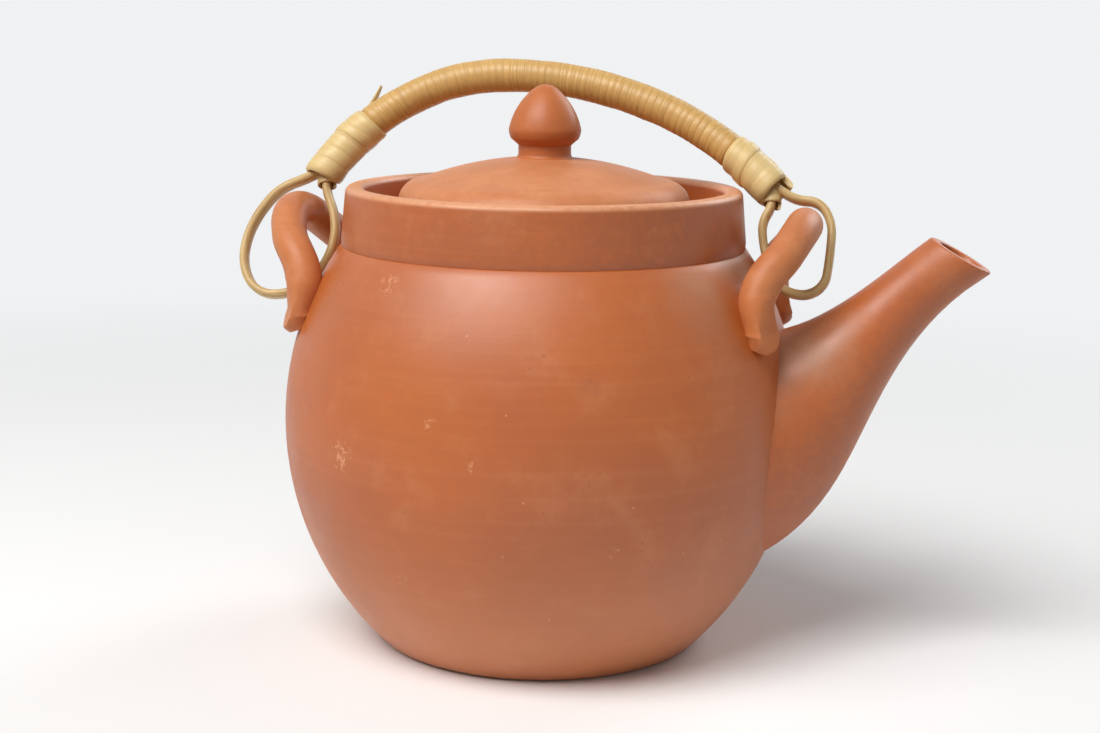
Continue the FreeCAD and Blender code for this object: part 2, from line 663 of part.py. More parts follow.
def strand_end(place, way, hand, splay):
    """The same bend, followed towards the rod."""
    return [(spot, along * -1) for spot, along in reversed(strand_start(place, way, hand, splay))]


loop_top = lug_rise + clear + size("front_loop_lift")
upright = lug_rise - size("front_loop_drop")
front_inside = lug_reach - clear - size("front_loop_inset")
strip("spout_side_loop", strand_start(front_end, front_way, 1, "front_outer_splay") + [
    (on_bail(lug_reach, loop_top), heading(0)),
    (on_bail(lug_reach + clear + size("front_loop_slack"), upright), heading(270)),
    (on_bail(lug_reach, -size("front_loop_hang")), heading(180)),
    (on_bail(front_inside, upright), heading(size("front_loop_inner_angle"))),
] + strand_end(front_end, front_way, -1, "front_inner_splay"))

rear_out_way = rear_way * -1
inner_reach = -lug_reach + clear + size("rear_loop_inset")
strip("rear_loop", strand_start(rear_end, rear_out_way, 1, "rear_outer_splay") + [
    (on_bail(-lug_reach - size("rear_loop_shoulder_out"), size("rear_loop_shoulder_rise")),
     heading(size("rear_loop_shoulder_angle"))),
    (on_bail(-lug_reach - size("rear_loop_out"), size("rear_loop_widest")), heading(270)),
    (on_bail(-lug_reach - size("rear_loop_bottom_out"), -size("rear_loop_hang")), heading(0)),
    (on_bail(inner_reach, lug_rise - size("rear_loop_drop")), heading(size("rear_loop_inner_angle"))),
] + strand_end(rear_end, rear_out_way, -1, "rear_inner_splay"))

# Pointed end of the wrapping strip, just above the rear binding
tail_place, tail_along = rod_line(tail_from)
tail_out = BAIL_ACROSS.cross(tail_along) * -1
tail_angle = math.radians(size("tail_lift"))
tail_way = tail_along * math.cos(tail_angle) + tail_out * math.sin(tail_angle)
tail_side = tail_way.cross(BAIL_ACROSS)
tail_root = tail_place + tail_out * (size("rod_diameter") / 2 + size("wrap_clearance")
                                     + math.cos(tail_angle) * size("tail_thickness") / 2)


def blade(place, thickness, width):
    """Four-sided section across the tail."""
    thin = tail_side * (thickness / 2)
    broad = BAIL_ACROSS * (width / 2)
    corners = [place + thin + broad, place - thin + broad, place - thin - broad, place + thin - broad]
    return Part.makePolygon(corners + corners[:1])


add_piece("rear_wrap_tail", Part.makeLoft([
    blade(tail_root, size("tail_thickness"), size("tail_width")),
    blade(tail_root + tail_way * size("tail_length"), size("tail_point"), size("tail_point")),
], True, True))


def write_parts():
    bad = [o.Label for o in doc.Objects if "Invalid" in o.State or "Error" in o.State]
    if bad:
        raise RuntimeError("failed objects: " + ", ".join(bad))
    pieces = [o for o in doc.Objects
              if o.TypeId in ("PartDesign::Body", "Part::Feature") and o.Label != "Sizes"]
    for piece in pieces:
        shape = piece.Shape
        if shape.isNull() or not shape.isValid() or shape.Volume <= 0:
            raise RuntimeError(piece.Label + " has no sound shape")
    os.makedirs("parts", exist_ok=True)
    for piece in pieces:
        piece.Shape.exportStep("parts/%s.step" % piece.Label)
        box = piece.Shape.BoundBox
        print("%s: %d solid, %.1f mm3, z %.1f to %.1f" % (piece.Label, len(piece.Shape.Solids),
                                                         piece.Shape.Volume, box.ZMin, box.ZMax))


doc.recompute()
write_parts()
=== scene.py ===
"""Looks of a clay teapot with a wrapped cane bail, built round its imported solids."""
import math
from collections import namedtuple

import bmesh
import bpy
from mathutils import Matrix, Vector
from mathutils.geometry import interpolate_bezier


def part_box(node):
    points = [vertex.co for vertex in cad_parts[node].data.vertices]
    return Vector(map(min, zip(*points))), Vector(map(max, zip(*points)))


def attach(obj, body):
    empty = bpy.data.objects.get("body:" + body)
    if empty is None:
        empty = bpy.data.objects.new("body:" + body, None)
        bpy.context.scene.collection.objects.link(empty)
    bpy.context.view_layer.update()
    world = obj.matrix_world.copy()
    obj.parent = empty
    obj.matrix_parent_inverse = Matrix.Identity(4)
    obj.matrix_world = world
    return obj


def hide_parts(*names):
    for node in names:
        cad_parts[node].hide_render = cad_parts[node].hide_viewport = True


bl_info = {
    "name": "Clay teapot with cane bail",
    "version": (1, 0, 0),
    "blender": (4, 5, 0),
    "location": "3D View > Sidebar > Teapot",
    "description": "Builds the clay pot, its lid, the cane bail and a plain stage",
    "category": "Object",
}

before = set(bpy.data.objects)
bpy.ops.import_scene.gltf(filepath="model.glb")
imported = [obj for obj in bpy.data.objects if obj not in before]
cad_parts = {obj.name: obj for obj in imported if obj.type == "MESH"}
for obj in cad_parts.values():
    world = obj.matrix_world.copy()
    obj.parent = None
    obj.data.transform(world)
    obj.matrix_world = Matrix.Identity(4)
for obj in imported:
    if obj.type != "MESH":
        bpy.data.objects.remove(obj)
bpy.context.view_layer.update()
MM = 0.001
MERGE = 0.01 * MM
FULL_TURN = 2 * math.pi
LIP_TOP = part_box("collar")[1].z
COLLAR_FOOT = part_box("collar")[0].z
BELLY_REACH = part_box("upper_body")[1].x
BELLY_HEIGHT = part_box("upper_body")[0].z
SEAT_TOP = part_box("lid_seat_ring")[1].z
LID_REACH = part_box("lid_dome")[1].x
CROWN_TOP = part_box("lid_dome")[1].z
KNOB_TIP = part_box("knob")[1].z


def length(name, description, default):
    """A length that a user may change."""
    return bpy.props.FloatProperty(name=name, description=description, default=default, min=0.0,
                                   precision=5, unit="LENGTH")


def slope(name, description, degrees):
    """An angle that a user may change."""
    return bpy.props.FloatProperty(name=name, description=description, default=math.radians(degrees),
                                   unit="ROTATION")


def colour(name, description, default):
    """A colour that a user may change."""
    return bpy.props.FloatVectorProperty(name=name, description=description, default=default, size=3,
                                         min=0.0, max=1.0, subtype="COLOR")


class PotSizes(bpy.types.PropertyGroup):
    """Sizes of the clay pot and its lid"""
    base_radius: length("Foot radius", "Flat foot that the pot stands on", 0.031)
    floor: length("Floor", "Clay under the tea", 0.004)
    belly_radius: length("Belly radius", "Widest radius of the body", BELLY_REACH)
    belly_height: length("Belly height", "Height of the widest place", BELLY_HEIGHT)
    wall: length("Wall", "Thickness of the body", 0.0035)
    shoulder_radius: length("Shoulder radius", "Body's radius at the collar's foot", 0.0393)
    shoulder_height: length("Shoulder height", "Height of the collar's foot", COLLAR_FOOT)
    lip_radius: length("Lip radius", "Outer radius of the lip", 0.0384)
    lip_height: length("Lip height", "Height of the lip", LIP_TOP)
    lip_round: length("Lip rounding", "Rounding of the lip's two edges", 0.0012)
    collar_wall: length("Collar wall", "Thickness of the collar", 0.0036)
    pour_hole: length("Pouring hole", "Radius of the hole behind the spout", 0.006)
    pour_hole_height: length("Pouring hole height", "Height of that hole", 0.033)
    lid_radius: length("Lid radius", "Outer radius of the lid", LID_REACH)
    lid_crown: length("Lid crown", "Height of the lid's crown", CROWN_TOP)
    lid_seat: length("Lid seat", "Height at which the lid rests", SEAT_TOP)
    lid_dome: length("Dome radius", "Radius of the lid's flat dome", 0.066)
    lid_edge: length("Lid edge", "Round shoulder at the lid's edge", 0.0046)
    lid_wall: length("Lid wall", "Thickness of the lid", 0.0034)
    lid_bore: length("Lid bore", "Inner radius of the ring under the lid", 0.0224)
    vent_radius: length("Vent radius", "Vent hole in the lid", 0.0012)
    vent_place: length("Vent place", "Vent hole from the lid's axis", 0.015)
    knob_tip: length("Knob tip", "Height of the knob's tip", KNOB_TIP)


class SpoutSizes(bpy.types.PropertyGroup):
    """Sizes of the spout and the two lugs"""
    root_reach: length("Root reach", "Middle of the spout's root from the pot's axis", 0.0429)
    root_height: length("Root height", "Height of the root's middle", 0.0426)
    root_tall: length("Root tall", "Spout's height at its root", 0.0454)
    root_wide: length("Root wide", "Spout's width at its root", 0.042)
    root_angle: slope("Root angle", "Slope of the root section", 5.5)
    rise_angle: slope("Rise angle", "Slope of the spout's line at its root", 34)
    tip_reach: length("Tip reach", "Middle of the mouth from the pot's axis", 0.0796)
    tip_height: length("Tip height", "Height of the mouth's middle", 0.0791)
    tip_angle: slope("Tip angle", "Slope of the spout at its mouth", 36.5)
    tip_size: length("Tip size", "Outer diameter at the mouth", 0.0118)
    mouth_angle: slope("Mouth angle", "Slope of the cut mouth's normal", 61)
    spout_wall: length("Spout wall", "Thickness of the spout", 0.002)
    lug_thickness: length("Lug thickness", "Diameter of the rolled lugs", 0.007)
    lug_reach: length("Lug reach", "Middle of a lug's top from the pot's axis", 0.0503)
    lug_height: length("Lug height", "Height of the middle of a lug's top", 0.0834)
    lug_span: length("Lug span", "Half of the spread between a lug's feet", 0.0174)
    lug_foot: length("Lug foot", "Height of the lower end of a lug's legs", 0.0618)
    knee_reach: length("Knee reach", "Knee of a lug's leg from the pot's axis", 0.0434)
    knee_span: length("Knee span", "Half of the spread between a lug's knees", 0.0166)
    knee_height: length("Knee height", "Height of the knees", 0.072)


class BailSizes(bpy.types.PropertyGroup):
    """Sizes of the cane bail"""
    axis_height: length("Axis height", "Height of the axis that the bail swings on", 0.072)
    lean: slope("Lean", "How far the bail leans back at rest", 25)
    rod: length("Rod", "Diameter of the bare cane rod", 0.005)
    wrap_width: length("Wrap width", "Width of the strip wound round the grip", 0.0022)
    wrap_pitch: length("Wrap pitch", "Step from turn to turn of the grip's winding", 0.00146)
    wrap_thick: length("Wrap thickness", "Thickness of that strip", 0.00085)
    binding_width: length("Binding width", "Width of the strip of the bindings", 0.0042)
    rear_length: length("Rear binding", "Length of the rear binding", 0.014)
    front_length: length("Front binding", "Length of the binding on the spout's side", 0.010)
    binding_thick: length("Binding thickness", "Thickness of that strip", 0.0012)
    loop_width: length("Loop width", "Width of the loops' strip", 0.0031)
    loop_thick: length("Loop thickness", "Thickness of the loops' strip", 0.0016)


class TeapotColours(bpy.types.PropertyGroup):
    """Colours of clay, cane and stage"""
    clay: colour("Clay", "Fired clay", (0.475, 0.115, 0.018))
    # Dark clay is also laid on as painted shade: the body's lower right side, the spout's underside and
    # middle, the collar's right side
    clay_dark: colour("Dark clay", "Smoky places in the clay", (0.33, 0.085, 0.026))
    # Pale clay is also laid on as painted light: bounce low on the body, and part of the lip's highlight
    clay_pale: colour("Pale clay", "Worn or chalky clay", (0.72, 0.335, 0.165))
    dust: colour("Dust", "Dust in corners", (0.40, 0.26, 0.17))
    cane: colour("Cane", "Wrapping cane", (0.64, 0.39, 0.125))
    cane_pale: colour("Pale cane", "Binding cane", (0.71, 0.54, 0.25))
    # Dark cane is also laid along the strips' edges as painted shade
    cane_dark: colour("Dark cane", "Edges and underside of the cane", (0.34, 0.16, 0.036))
    floor: colour("Floor", "Pale floor", (0.89, 0.90, 0.91))


def deselect():
    """Leaves edit mode with nothing selected."""
    if bpy.context.mode != "OBJECT":
        bpy.ops.object.mode_set(mode="OBJECT")
    bpy.ops.object.select_all(action="DESELECT")


def pick(piece):
    """Makes a piece the only selected one."""
    deselect()
    piece.select_set(True)
    bpy.context.view_layer.objects.active = piece


def named(name):
    """Names the object that was just added."""
    piece = bpy.context.object
    piece.name = name
    piece.data.name = name
    return piece


def select_edges(piece, wanted):
    """Selects, in edit mode, only the edges that pass a test."""
    bpy.ops.mesh.select_all(action="DESELECT")
    mesh = bmesh.from_edit_mesh(piece.data)
    for edge in mesh.edges:
        if wanted(edge):
            edge.select_set(True)
    bmesh.update_edit_mesh(piece.data)


def arc(start, end, radius, turn, steps):
    """Points after start on an arc to end, turning left for +1 and right for -1."""
    a = Vector(start)
    b = Vector(end)
    half = (b - a) / 2
    side = Vector((-half.y, half.x)).normalized()
    middle = a + half + side * (turn * math.sqrt(max(radius ** 2 - half.length_squared, 0.0)))
    sweep = 2 * math.asin(min(half.length / radius, 1.0)) * turn
    points = []
    for i in range(1, steps + 1):
        turned_by = Matrix.Rotation(sweep * i / steps, 2)
        points.append(tuple(middle + turned_by @ (a - middle)))
    return points


def finish_mesh(piece, angle=35):
    """Merges doubles, points faces outwards and smooths gentle edges."""
    pick(piece)
    bpy.ops.object.mode_set(mode="EDIT")
    bpy.ops.mesh.select_all(action="SELECT")
    bpy.ops.mesh.remove_doubles(threshold=MERGE)
    bpy.ops.mesh.normals_make_consistent(inside=False)
    bpy.ops.object.mode_set(mode="OBJECT")
    bpy.ops.object.shade_smooth_by_angle(angle=math.radians(angle))
    return piece


def turned(name, profile, sides=128):
    """A piece spun about the pot's axis from a profile of (radius, height)."""
    deselect()
    bpy.ops.mesh.primitive_plane_add(size=MM)
    piece = named(name)
    bpy.ops.object.mode_set(mode="EDIT")
    bpy.ops.mesh.merge(type="CENTER")
    bpy.ops.transform.translate(value=(profile[0][0], 0, profile[0][1]))
    for here, there in zip(profile, profile[1:]):
        step = (there[0] - here[0], 0, there[1] - here[1])
        bpy.ops.mesh.extrude_region_move(TRANSFORM_OT_translate={"value": step})
    bpy.ops.mesh.select_all(action="SELECT")
    bpy.ops.mesh.spin(steps=sides, angle=FULL_TURN, center=(0, 0, 0), axis=(0, 0, 1))
    return finish_mesh(piece)


def cut_away(piece, tool):
    """Cuts a closed tool out of a piece and removes the tool."""
    pick(piece)
    cut = piece.modifiers.new("cut", "BOOLEAN")
    cut.operation = "DIFFERENCE"
    cut.solver = "EXACT"
    cut.object = tool
    bpy.ops.object.modifier_apply(modifier=cut.name)
    bpy.data.objects.remove(tool)
    return piece


def drill(name, radius, depth, place, turn=(0, 0, 0)):
    """A closed round cutter."""
    deselect()
    bpy.ops.mesh.primitive_cylinder_add(vertices=32, radius=radius, depth=depth, location=place,
                                        rotation=turn)
    bpy.ops.object.transform_apply(location=True, rotation=True, scale=True)
    return named(name)


def dress(piece, finish, body, slot, *nodes):
    """Gives a finished piece its material, its body and the solids that it stands for."""
    piece.data.materials.clear()
    piece.data.materials.append(finish)
    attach(piece, body)
    if nodes:
        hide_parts(*nodes)


def skin_radius(pot, height, inset=0.0):
    """Radius of the body's outer skin at a height, or of a skin inset all round."""
    if height <= pot.belly_height:
        rise = pot.belly_height
        drop = pot.belly_radius - pot.base_radius
    else:
        rise = pot.shoulder_height - pot.belly_height
        drop = pot.belly_radius - pot.shoulder_radius
    sweep = (rise ** 2 + drop ** 2) / (2 * drop)
    return pot.belly_radius - sweep + math.sqrt((sweep - inset) ** 2 - (height - pot.belly_height) ** 2)


def skin_points(pot, low, high, steps, inset=0.0):
    """Profile points of the skin from one height to another."""
    heights = [low + (high - low) * i / steps for i in range(steps + 1)]
    return [(skin_radius(pot, z, inset), z) for z in heights]


def put(tree, kind, inputs=None, **settings):
    """Adds a shader node; an input is a value or another node's output."""
    node = tree.nodes.new("ShaderNode" + kind)
    for key, value in settings.items():
        setattr(node, key, value)
    for key, value in (inputs or {}).items():
        if isinstance(value, bpy.types.NodeSocket):
            tree.links.new(value, node.inputs[key])
        else:
            node.inputs[key].default_value = value
    return node


def new_finish(name):
    """An empty material with its shader."""
    finish = bpy.data.materials.new(name)
    finish.use_nodes = True
    return finish, finish.node_tree, finish.node_tree.nodes["Principled BSDF"]


def noise(tree, place, scale, detail=4.0, rough=0.55, stretch=None):
    """Cloudy value from 0 to 1; stretch scales the pattern along each axis."""
    if stretch:
        place = put(tree, "Mapping", {"Vector": place, "Scale": stretch}).outputs[0]
    return put(tree, "TexNoise", {"Vector": place, "Scale": scale, "Detail": detail,
                                  "Roughness": rough}).outputs["Fac"]


def ramp(tree, value, low, high, to_low=0.0, to_high=1.0):
    """A value taken from one range to another and held there."""
    return put(tree, "MapRange", {0: value, 1: low, 2: high, 3: to_low, 4: to_high},
               interpolation_type="SMOOTHSTEP").outputs[0]


def sums(tree, way, first, second):
    """Two values put together."""
    return put(tree, "Math", {0: first, 1: second}, operation=way).outputs[0]


def tint(tree, share, under, over):
    """One colour laid over another."""
    return put(tree, "Mix", {0: share, 6: under, 7: over}, data_type="RGBA").outputs[2]


def layered(tree, base, layers):
    """A colour with others laid over it in turn, each by its share."""
    for share, over in layers:
        base = tint(tree, share, base, over)
    return base


def weighed(tree, first, first_weight, second, second_weight):
    """Two values added up by their weights."""
    return sums(tree, "ADD", sums(tree, "MULTIPLY", first, first_weight),
                sums(tree, "MULTIPLY", second, second_weight))


def raise_relief(tree, shader, relief, strength, depth):
    """Fine relief on a shader."""
    bump = put(tree, "Bump", {"Height": relief, "Strength": strength, "Distance": depth})
    tree.links.new(bump.outputs[0], shader.inputs["Normal"])


def solid(rgb):
    """A colour with full alpha."""
    return (*rgb, 1.0)


def near(tree, place, spot, reach):
    """1 at a spot given in millimetres and 0 from reach millimetres on."""
    away = put(tree, "VectorMath", {0: place, 1: Vector(spot) * MM}, operation="DISTANCE").outputs["Value"]
    return ramp(tree, away, reach * MM, 0.25 * reach * MM)


def specks(tree, place, scale, outer, inner, patches):
    """Round specks, shown only in some patches."""
    away = put(tree, "TexVoronoi", {"Vector": place, "Scale": scale, "Randomness": 1.0}).outputs["Distance"]
    return sums(tree, "MULTIPLY", ramp(tree, away, outer, inner), patches)


def clay_finish(name, colours, pale_share=0.0, rim=None, painted_bounce=None, scuffs=(), smoke_and_shade=(), dust=(), lines=1.0,
                gloss=0.64):
    """Fired clay: cloudy tone, grain, specks, turning lines, wear at given spots, smoky spots that are
    mostly painted shade, and dust at given spots.

    A spot is (place, reach, share) in millimetres. rim is (low, high): the lip's top is paler, from wear and
    a painted highlight. The bounce light is (low, high, share): paler clay low on the body, a painted
    reflection of light from the floor.
    """
    finish, tree, shader = new_finish(name)
    place = put(tree, "TexCoord").outputs["Object"]
    height = put(tree, "SeparateXYZ", {0: place}).outputs["Z"]
    dark = solid(colours.clay_dark)
    pale = solid(colours.clay_pale)
    clouds = noise(tree, place, 26, 3)
    blotches = noise(tree, place, 95, 4, 0.6)
    grain = noise(tree, place, 2100, 2, 0.6)
    worn = noise(tree, place, 620, 3, 0.7)
    rings = noise(tree, place, 1, 3, 0.5, stretch=(14, 14, 900))
    broad_rings = noise(tree, place, 1, 2, 0.5, stretch=(12, 12, 150))
    streaks = noise(tree, place, 1, 4, 0.6, stretch=(60, 60, 420))
    pits = specks(tree, place, 330, 0.12, 0.05, ramp(tree, blotches, 0.5, 0.62))
    flecks = specks(tree, place, 190, 0.05, 0.02, ramp(tree, clouds, 0.5, 0.6))
    layers = [
        (ramp(tree, clouds, 0.35, 0.72, 0.0, 0.42), dark),
        (ramp(tree, blotches, 0.48, 0.75, 0.0, 0.16), pale),
        (ramp(tree, broad_rings, 0.4, 0.75, 0.0, 0.13 * lines), dark),
        (ramp(tree, rings, 0.45, 0.8, 0.0, 0.055 * lines), pale),
        (ramp(tree, blotches, 0.25, 0.75, 0.6 * pale_share, pale_share), pale),
        (sums(tree, "MULTIPLY", pits, 0.75), dark),
        (sums(tree, "MULTIPLY", flecks, 0.6), pale),
        (ramp(tree, worn, 0.42, 0.72, 0.0, 0.13), dark),
        (ramp(tree, streaks, 0.5, 0.75, 0.0, 0.16), dark),
    ]
    # Worn spots are paler; the smoky spots darken the clay, mostly as painted shade; dusty spots are greyer
    for spots, pattern, low, high, least, tone in (
            (scuffs, worn, 0.5, 0.6, 0.0, pale),
            (smoke_and_shade, worn, 0.3, 0.6, 0.3, dark),
            (dust, blotches, 0.3, 0.7, 0.4, solid(colours.dust))):
        for spot, reach, share in spots:
            broken = ramp(tree, pattern, low, high, least * share, share)
            layers.append((sums(tree, "MULTIPLY", near(tree, place, spot, reach), broken), tone))
    # Paler clay low on the body: a painted reflection of light bounced up from the floor
    if painted_bounce:
        low, high, share = painted_bounce
        layers.append((ramp(tree, height, high, low, 0.0, share), pale))
    # The lip's top is paler: wear, plus a painted highlight
    if rim:
        rim_breakup = ramp(tree, worn, 0.2, 0.6, 0.45, 0.85)
        layers.append((sums(tree, "MULTIPLY", ramp(tree, height, *rim), rim_breakup), pale))
    tree.links.new(layered(tree, solid(colours.clay), layers), shader.inputs["Base Color"])
    tree.links.new(ramp(tree, blotches, 0.3, 0.75, 0.38, 0.52), shader.inputs["Roughness"])
    shader.inputs["Specular IOR Level"].default_value = gloss
    relief = weighed(tree, grain, 0.35, rings, 0.3 * lines)
    relief = sums(tree, "SUBTRACT", relief, sums(tree, "MULTIPLY", pits, 0.5))
    raise_relief(tree, shader, relief, 0.22, 0.00018)
    return finish


def cane_finish(name, light, dark, edge=0.5, marked=True):
    """Split cane: fibres along the strip, darker patches, edges darkened as painted shade where turns meet,
    waxy skin.
    """
    finish, tree, shader = new_finish(name)
    place = put(tree, "TexCoord").outputs["Object"]
    if marked:
        strip = put(tree, "Attribute", attribute_name="strip").outputs["Vector"]
    else:
        strip = put(tree, "Mapping", {"Vector": place, "Scale": [1 / MM] * 3}).outputs[0]
    fibres = noise(tree, strip, 1, 3, 0.6, stretch=(0.10, 5.5, 2.0))
    fine = noise(tree, strip, 1, 2, 0.5, stretch=(0.5, 16, 6))
    patches = noise(tree, strip, 1, 3, 0.5, stretch=(0.09, 0.2, 0.2))
    soil = noise(tree, place, 160, 3, 0.6)
    across = put(tree, "SeparateXYZ", {0: strip}).outputs["Y"]
    off_middle = put(tree, "Math", {0: across}, operation="ABSOLUTE").outputs[0]
    layers = [
        (ramp(tree, fibres, 0.42, 0.75, 0.0, 0.55), solid(dark)),
        (ramp(tree, fine, 0.45, 0.75, 0.0, 0.35), solid(dark)),
        (ramp(tree, patches, 0.4, 0.7, 0.0, 0.35), solid([c * 0.72 for c in light])),
        # Painted shade: the strip's edges darker, where turns meet
        (ramp(tree, off_middle, 0.30, 0.52, 0.0, edge), solid(dark)),
        (ramp(tree, soil, 0.52, 0.78, 0.0, 0.30), solid(dark)),
    ]
    tree.links.new(layered(tree, solid(light), layers), shader.inputs["Base Color"])
    tree.links.new(ramp(tree, fibres, 0.3, 0.8, 0.34, 0.52), shader.inputs["Roughness"])
    shader.inputs["Specular IOR Level"].default_value = 0.45
    raise_relief(tree, shader, weighed(tree, fibres, 0.7, fine, 0.3), 0.4, 0.00012)
    return finish


def heading(degrees):
    """A direction in the bail's plane: 0 is towards the spout, 90 is up along the bail."""
    return Vector((math.cos(math.radians(degrees)), math.sin(math.radians(degrees))))


def with_meets(stations):
    """Stations of place and direction, with the places where two arcs meet put in between."""
    points = [stations[0]]
    for (start, start_way), (end, end_way) in zip(stations, stations[1:]):
        gap = end - start
        along = gap.dot(start_way + end_way)
        spread = 2 * (1 - start_way.dot(end_way))
        if spread < MERGE:
            arm = gap.dot(gap) / (4 * gap.dot(end_way))
        else:
            arm = (math.sqrt(along ** 2 + spread * gap.dot(gap)) - along) / spread
        first = start + start_way * arm
        last = end - end_way * arm
        points += [((first + last) / 2, (last - first).normalized()), (end, end_way)]
    return points


def handle_arm(start, start_way, end, end_way):
    """Length of the Bezier handles that draw an arc."""
    chord = (end - start).length
    turn = start_way.angle(end_way)
    if turn < MERGE:
        return chord / 3
    return 4 / 3 * math.tan(turn / 4) * chord / (2 * math.sin(turn / 2))


def cane_line(name, stations):
    """A Bezier line in the bail's plane through stations in millimetres, as arcs that flow on."""
    points = [(place * MM, way) for place, way in with_meets(stations)]
    deselect()
    bpy.ops.curve.primitive_bezier_curve_add()
    line = named(name)
    line.data.dimensions = "3D"
    line.data.twist_mode = "Z_UP"
    line.data.resolution_u = 32
    spline = line.data.splines[0]
    spline.bezier_points.add(len(points) - len(spline.bezier_points))
    for knot, (place, way) in zip(spline.bezier_points, points):
        knot.handle_left_type = "FREE"
        knot.handle_right_type = "FREE"
        knot.co = (*place, 0)
        knot.handle_left = knot.co
        knot.handle_right = knot.co
    for i in range(len(points) - 1):
        arm = handle_arm(*points[i], *points[i + 1])
        spline.bezier_points[i].handle_right = (*(points[i][0] + points[i][1] * arm), 0)
        spline.bezier_points[i + 1].handle_left = (*(points[i + 1][0] - points[i + 1][1] * arm), 0)
    return line


def mark_strip(piece, coordinates):
    """Keeps each point's place along, across and through the strip for the cane's fibres."""
    layer = piece.data.attributes.new("strip", "FLOAT_VECTOR", "POINT")
    layer.data.foreach_set("vector", [value for row in coordinates for value in row])


def lay_on(piece, line, bail):
    """Bends a straight piece along a line of the bail and stands it in the bail's plane."""
    pick(piece)
    bend = piece.modifiers.new("bend", "CURVE")
    bend.object = line
    bend.deform_axis = "POS_X"
    bpy.ops.object.modifier_apply(modifier=bend.name)
    piece.rotation_euler = (math.pi / 2 - bail.lean, 0, 0)
    piece.location = (0, 0, bail.axis_height)
    bpy.ops.object.transform_apply(location=True, rotation=True, scale=True)
    return piece


def uneven(piece, strength, grain, seed):
    """Hand-made unevenness: soft swellings of a given size."""
    clouds = bpy.data.textures.new(piece.name + "_swell", "CLOUDS")
    clouds.noise_scale = grain
    clouds.noise_depth = 1
    pick(piece)
    for vertex in piece.data.vertices:
        vertex.co.x += seed
    swell = piece.modifiers.new("swell", "DISPLACE")
    swell.texture = clouds
    swell.texture_coords = "LOCAL"
    swell.strength = strength
    bpy.ops.object.modifier_apply(modifier=swell.name)
    for vertex in piece.data.vertices:
        vertex.co.x -= seed
    return piece


# How much of a strip's section is pressed flat: 1 keeps it oval
WOUND_FLATNESS = 1.5
STRIP_FLATNESS = 1.45
SECTION_POINTS = 12
STEPS_A_TURN = 24
SWELL_SIZE = 6 * MM
SWELL_SHARE = 0.35


def winding(name, start, turns, pitch, radius, width, thick, seed):
    """A strip wound round the X axis, from start on."""
    deselect()
    bpy.ops.mesh.primitive_circle_add(vertices=SECTION_POINTS, radius=1, location=(0, radius, 0))
    piece = named(name)
    piece.scale = (width / 2, thick / 2, 1)
    bpy.ops.object.transform_apply(location=True, rotation=True, scale=True)
    for vertex in piece.data.vertices:
        level = (vertex.co.y - radius) / (thick / 2)
        vertex.co.y = radius + math.copysign(min(1.0, WOUND_FLATNESS * abs(level)), level) * thick / 2
    screw = piece.modifiers.new("wind", "SCREW")
    screw.axis = "X"
    screw.angle = FULL_TURN
    screw.screw_offset = pitch
    screw.iterations = turns
    screw.steps = STEPS_A_TURN
    screw.render_steps = STEPS_A_TURN
    screw.use_merge_vertices = False
    bpy.ops.object.modifier_apply(modifier=screw.name)
    marks = []
    for vertex in piece.data.vertices:
        part = math.atan2(vertex.co.z, vertex.co.y) / FULL_TURN
        part += round(vertex.co.x / pitch - part)
        across = (vertex.co.x - pitch * part) / width
        through = (math.hypot(vertex.co.y, vertex.co.z) - radius) / thick
        marks.append((part * FULL_TURN * radius / MM, across, through))
    mark_strip(piece, marks)
    bpy.ops.object.mode_set(mode="EDIT")
    bpy.ops.mesh.select_all(action="SELECT")
    bpy.ops.mesh.fill_holes(sides=0)
    bpy.ops.mesh.normals_make_consistent(inside=False)
    bpy.ops.object.mode_set(mode="OBJECT")
    uneven(piece, SWELL_SHARE * thick, SWELL_SIZE, seed)
    for vertex in piece.data.vertices:
        vertex.co.x += start
    return piece


def flat_strip(name, long, width, thick, cuts, ends=(1.0, 1.0)):
    """A straight strip with rounded edges along X; ends give the share of the section kept there."""
    deselect()
    bpy.ops.mesh.primitive_circle_add(vertices=SECTION_POINTS, radius=1, rotation=(0, math.pi / 2, 0),
                                      fill_type="NGON")
    piece = named(name)
    piece.scale = (width / 2, thick / 2, 1)
    bpy.ops.object.transform_apply(location=True, rotation=True, scale=True)
    for vertex in piece.data.vertices:
        level = abs(vertex.co.y) / (thick / 2)
        vertex.co.y = math.copysign(min(1.0, STRIP_FLATNESS * level) * thick / 2, vertex.co.y)
    bpy.ops.object.mode_set(mode="EDIT")
    bpy.ops.mesh.select_all(action="SELECT")
    bpy.ops.mesh.extrude_region_move(TRANSFORM_OT_translate={"value": (long, 0, 0)})
    select_edges(piece, lambda edge: abs(edge.verts[0].co.x - edge.verts[1].co.x) > long / 2)
    bpy.ops.mesh.subdivide(number_cuts=cuts)
    bpy.ops.mesh.select_all(action="SELECT")
    bpy.ops.mesh.normals_make_consistent(inside=False)
    bpy.ops.object.mode_set(mode="OBJECT")
    mark_strip(piece, [(v.co.x / MM, v.co.z / width, v.co.y / thick) for v in piece.data.vertices])
    for vertex in piece.data.vertices:
        share = ends[0] + (ends[1] - ends[0]) * vertex.co.x / long
        vertex.co.y *= share
        vertex.co.z *= share
    return piece


def smooth(piece, angle):
    """Smooth shading over gentle edges."""
    pick(piece)
    bpy.ops.object.shade_smooth_by_angle(angle=math.radians(angle))
    return piece


